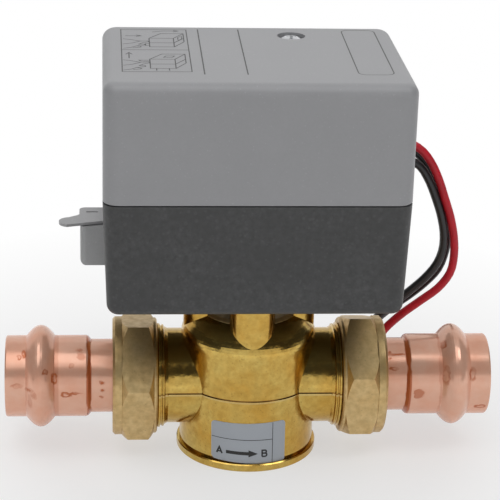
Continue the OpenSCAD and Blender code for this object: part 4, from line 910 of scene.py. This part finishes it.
def steelMaterial(name, colour, roughness, spangle=0.25):
    # Zinc-plated or stainless steel: a cloudy plating, fine scuffs and a few dull spots.
    material, tree, shader, place = startMaterial(name, colour, roughness, 1.0)
    cloud = effect(tree, "mottle", place, Scale=160.0, Contrast=1.4)
    scuff = effect(tree, "drawLines", place, Scale=1600.0)
    spot = effect(tree, "specks", place, Scale=500.0, Share=0.12, Size=0.3)
    shaded = layer(tree, shade(colour), cloud, spangle, shade(colour, 0.6))
    shaded = layer(tree, shaded, spot, 0.5, (0.16, 0.15, 0.14, 1))
    dress(tree, shader, shaded, cloud, roughness - 0.06, roughness + 0.1)
    addBump(tree, shader, scuff, 0.15, 0.02)
    return material


def rubberMaterial(name, colour, roughness):
    # Black rubber: a faint grey bloom and a fine grain.
    material, tree, shader, place = startMaterial(name, colour, roughness)
    bloom = effect(tree, "mottle", place, Scale=260.0, Contrast=1.4)
    dress(tree, shader, mixColour(tree, bloom, shade(colour, 0.75), shade(colour, 1.5, 0.004)))
    addBump(tree, shader, noise(tree, place, 1800.0), 0.3, 0.05)
    return material


def wireMaterial(name, colour, roughness):
    # Extruded insulation: faint lines along the lead, which runs along U, and slow changes of gloss.
    material, tree, shader, place = startMaterial(name, colour, roughness, Coat_Weight=0.12, Coat_Roughness=0.25)
    axes = axesOf(tree, put(tree, "ShaderNodeTexCoord").outputs["UV"])
    thin = vectorOf(tree, sums(tree, "MULTIPLY", axes["X"], 40.0), sums(tree, "MULTIPLY", axes["Y"], 34.0))
    cloud = effect(tree, "mottle", place, Scale=240.0)
    shaded = mixColour(tree, cloud, shade(colour, 0.82), shade(colour, 1.15))
    dress(tree, shader, shaded, cloud, roughness - 0.06, roughness + 0.08)
    addBump(tree, shader, noise(tree, thin, 1.0), 0.12, 0.04)
    return material


def foilMaterial(name):
    # Brushed foil: fine upright brushing, and soft cloudiness in its gloss.
    material, tree, shader, place = startMaterial(name, (0.46, 0.48, 0.5), 0.42, 0.5)
    flat = put(tree, "ShaderNodeTexCoord").outputs["UV"]
    brush = noise(tree, vectors(tree, "MULTIPLY", flat, (900.0, 25.0, 1.0)), 1.0)
    cloud = effect(tree, "mottle", place, Scale=150.0)
    dress(tree, shader, mixColour(tree, brush, (0.38, 0.41, 0.45, 1), (0.47, 0.50, 0.54, 1)), cloud, 0.34, 0.46)
    addBump(tree, shader, brush, 0.12, 0.02)
    return material


def inkMaterial(name, level):
    # Printed ink: worn thinner in small spots.
    material, tree, shader, place = startMaterial(name, grey(level), 0.5)
    worn = effect(tree, "specks", place, Scale=2200.0, Share=0.35, Size=0.4)
    dress(tree, shader, layer(tree, shade(grey(level)), worn, 0.4, shade(grey(level), 2.4)))
    return material


finishes = {
    "forged_brass": brassMaterial(
        "forged_brass", (0.632, 0.462, 0.134), warm=(0.578, 0.342, 0.07), dark=(0.354, 0.208, 0.038),
        roughness=0.17, pits=0.14, tarnish=0.4, waviness=0.3, ridgeZ=22.4),
    "machined_brass": brassMaterial(
        "machined_brass", (0.679, 0.507, 0.257), warm=(0.632, 0.429, 0.187), dark=(0.374, 0.257, 0.101),
        roughness=0.44, pits=0.1, rings=True, tarnish=0.4),
    "tube_copper": copperMaterial("tube_copper"),
    "stainless": steelMaterial("stainless", (0.62, 0.61, 0.59), 0.25),
    "zinc_steel": steelMaterial("zinc_steel", (0.66, 0.67, 0.68), 0.3, spangle=0.4),
    "seal_rubber": rubberMaterial("seal_rubber", (0.018, 0.018, 0.019), 0.6),
    "case_charcoal": plasticMaterial(
        "case_charcoal", (0.068, 0.069, 0.07), 0.5, flecks=0.8, grain=0.5, tint=0.3, cell=640.0),
    "case_grey": plasticMaterial("case_grey", (0.382, 0.384, 0.397), 0.42, flecks=0.1, grain=0.16, tint=0.03),
    "button_grey": plasticMaterial("button_grey", (0.45, 0.455, 0.46), 0.45, flecks=0.1, grain=0.2),
    "gear_nylon": plasticMaterial("gear_nylon", (0.74, 0.72, 0.66), 0.4, flecks=0.03, grain=0.1),
    "switch_black": plasticMaterial("switch_black", (0.02, 0.02, 0.021), 0.4, flecks=0.05, grain=0.2),
    "plunger_red": plasticMaterial("plunger_red", (0.5, 0.03, 0.03), 0.35, flecks=0.02, grain=0.1),
    "lever_metal": plasticMaterial("lever_metal", (0.46, 0.46, 0.47), 0.33, flecks=0.1, grain=0.08),
    "wire_red": wireMaterial("wire_red", (0.64, 0.008, 0.025), 0.5),
    "wire_black": wireMaterial("wire_black", (0.014, 0.014, 0.015), 0.33),
}

slotOf = {part["node"]: part["material_slot"] for part in frame["record"]["subparts"]}
for nodeName, node in cadNodes.items():
    node.data.materials.clear()
    node.data.materials.append(finishes[slotOf[nodeName]])
for pieces in leadPieces.values():
    for piece in pieces.values():
        piece.data.materials.append(finishes[piece["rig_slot"]])
screwPiece.data.materials.append(steelMaterial("screw_zinc", (0.80, 0.81, 0.83), 0.24, spangle=0.2))
foilLabel.data.materials.append(foilMaterial("label_foil"))
foilInk.data.materials.append(inkMaterial("label_print", 0.02))
for piece in coverPrint:
    piece.data.materials.append(inkMaterial("cover_print", 0.09))
print("materials made")


# Floor, light and the end.

studio = {
    "world": 0.05,
    "floor": {"half": 3.0, "level": 0.88, "roughness": 0.7, "fade": (0.06, 0.2), "white": (0.55, 1.0)},
    "key": {"place": (-0.30, -0.35, 1.1), "size": (1.0, 0.9), "watts": 4.4},
    "fill": {"place": (0.55, -0.30, 0.9), "size": (0.4, 0.4), "watts": 1.6},
    "over": {"place": (0.0, 0.1, 1.0), "size": (1.6, 1.4), "watts": 3.5},
    "target": (0, 0, 0.05),
    "frontCard": {"wide": (-1.2, 1.2), "y": -1.0, "tall": (0.0, 0.38), "level": 0.8},
    "backCard": {"wide": (-1.4, 1.4), "y": 0.95, "tall": (0.0, 1.1), "level": 0.8},
}


def stagePiece(name, corners, materialName):
    # A flat four-cornered piece with a new material, and that material's nodes.
    piece = meshObject(name, corners, [[0, 1, 2, 3]], smooth=False)
    material = bpy.data.materials.new(materialName)
    material.use_nodes = True
    piece.data.materials.append(material)
    return piece, material.node_tree


def makeFloor(values):
    # A pale floor that fades to plain white away from the part, for the camera and in the metal, and
    # keeps the part's shadow near it.
    half = values["half"]
    corners = [(-half, -half, 0), (half, -half, 0), (half, half, 0), (-half, half, 0)]
    floor, tree = stagePiece("floor", corners, "floorWhite")
    floor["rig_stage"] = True
    shader = tree.nodes["Principled BSDF"]
    shader.inputs["Roughness"].default_value = values["roughness"]
    shader.inputs["Base Color"].default_value = shade(grey(values["level"]))
    white = put(tree, "ShaderNodeEmission", {"Color": (1, 1, 1, 1), "Strength": 1.0})
    rays = put(tree, "ShaderNodeLightPath").outputs
    seen = 0.0
    for label in ("Is Camera Ray", "Is Glossy Ray", "Is Transmission Ray"):
        seen = sums(tree, "MAXIMUM", seen, rays[label])
    away = vectors(tree, "LENGTH", put(tree, "ShaderNodeTexCoord").outputs["Object"])
    fade = sums(tree, "MULTIPLY", seen, spread(tree, away, *values["fade"], *values["white"]))
    both = put(tree, "ShaderNodeMixShader", {0: fade, 1: shader.outputs[0], 2: white.outputs[0]})
    tree.links.new(both.outputs[0], tree.nodes["Material Output"].inputs["Surface"])


def makeCard(name, values):
    # An upright card that lights the object evenly and that the camera sees as plain white.
    (left, right), (low, high), y = values["wide"], values["tall"], values["y"]
    corners = [(left, y, low), (right, y, low), (right, y, high), (left, y, high)]
    card, tree = stagePiece(name, corners, name + "White")
    card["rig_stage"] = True
    tree.nodes.remove(tree.nodes["Principled BSDF"])
    seen = put(tree, "ShaderNodeLightPath").outputs["Is Camera Ray"]
    strength = spread(tree, seen, 0, 1, values["level"], 1.0)
    glow = put(tree, "ShaderNodeEmission", {"Color": (1, 1, 1, 1), "Strength": strength})
    tree.links.new(glow.outputs[0], tree.nodes["Material Output"].inputs["Surface"])


def makeWorld(level):
    # Dim and a little blue for every ray but the camera's, which sees plain white.
    world = bpy.data.worlds.new("studio")
    bpy.context.scene.world = world
    world.use_nodes = True
    tree = world.node_tree
    seen = put(tree, "ShaderNodeLightPath").outputs["Is Camera Ray"]
    colour = mixColour(tree, seen, (level, level, level * 1.02, 1), (1, 1, 1, 1))
    tree.links.new(colour, tree.nodes["Background"].inputs["Color"])


def makeLight(name, values, target):
    data = bpy.data.lights.new(name, "AREA")
    data.shape = "RECTANGLE"
    data.size, data.size_y = values["size"]
    data.energy = values["watts"]
    lamp = bpy.data.objects.new(name, data)
    bpy.context.scene.collection.objects.link(lamp)
    lamp.location = values["place"]
    lamp.rotation_euler = (Vector(target) - lamp.location).to_track_quat("-Z", "Y").to_euler()


makeFloor(studio["floor"])
for cardName in ("frontCard", "backCard"):
    makeCard(cardName, studio[cardName])
makeWorld(studio["world"])
for lampName in ("key", "fill", "over"):
    makeLight(lampName, studio[lampName], studio["target"])
bpy.context.scene.view_settings.view_transform = "Standard"
print("studio made")

sizes = {"cad": cadBox, "visual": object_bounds()}
{label: [float(x) for corner in box for x in corner] for label, box in sizes.items()}
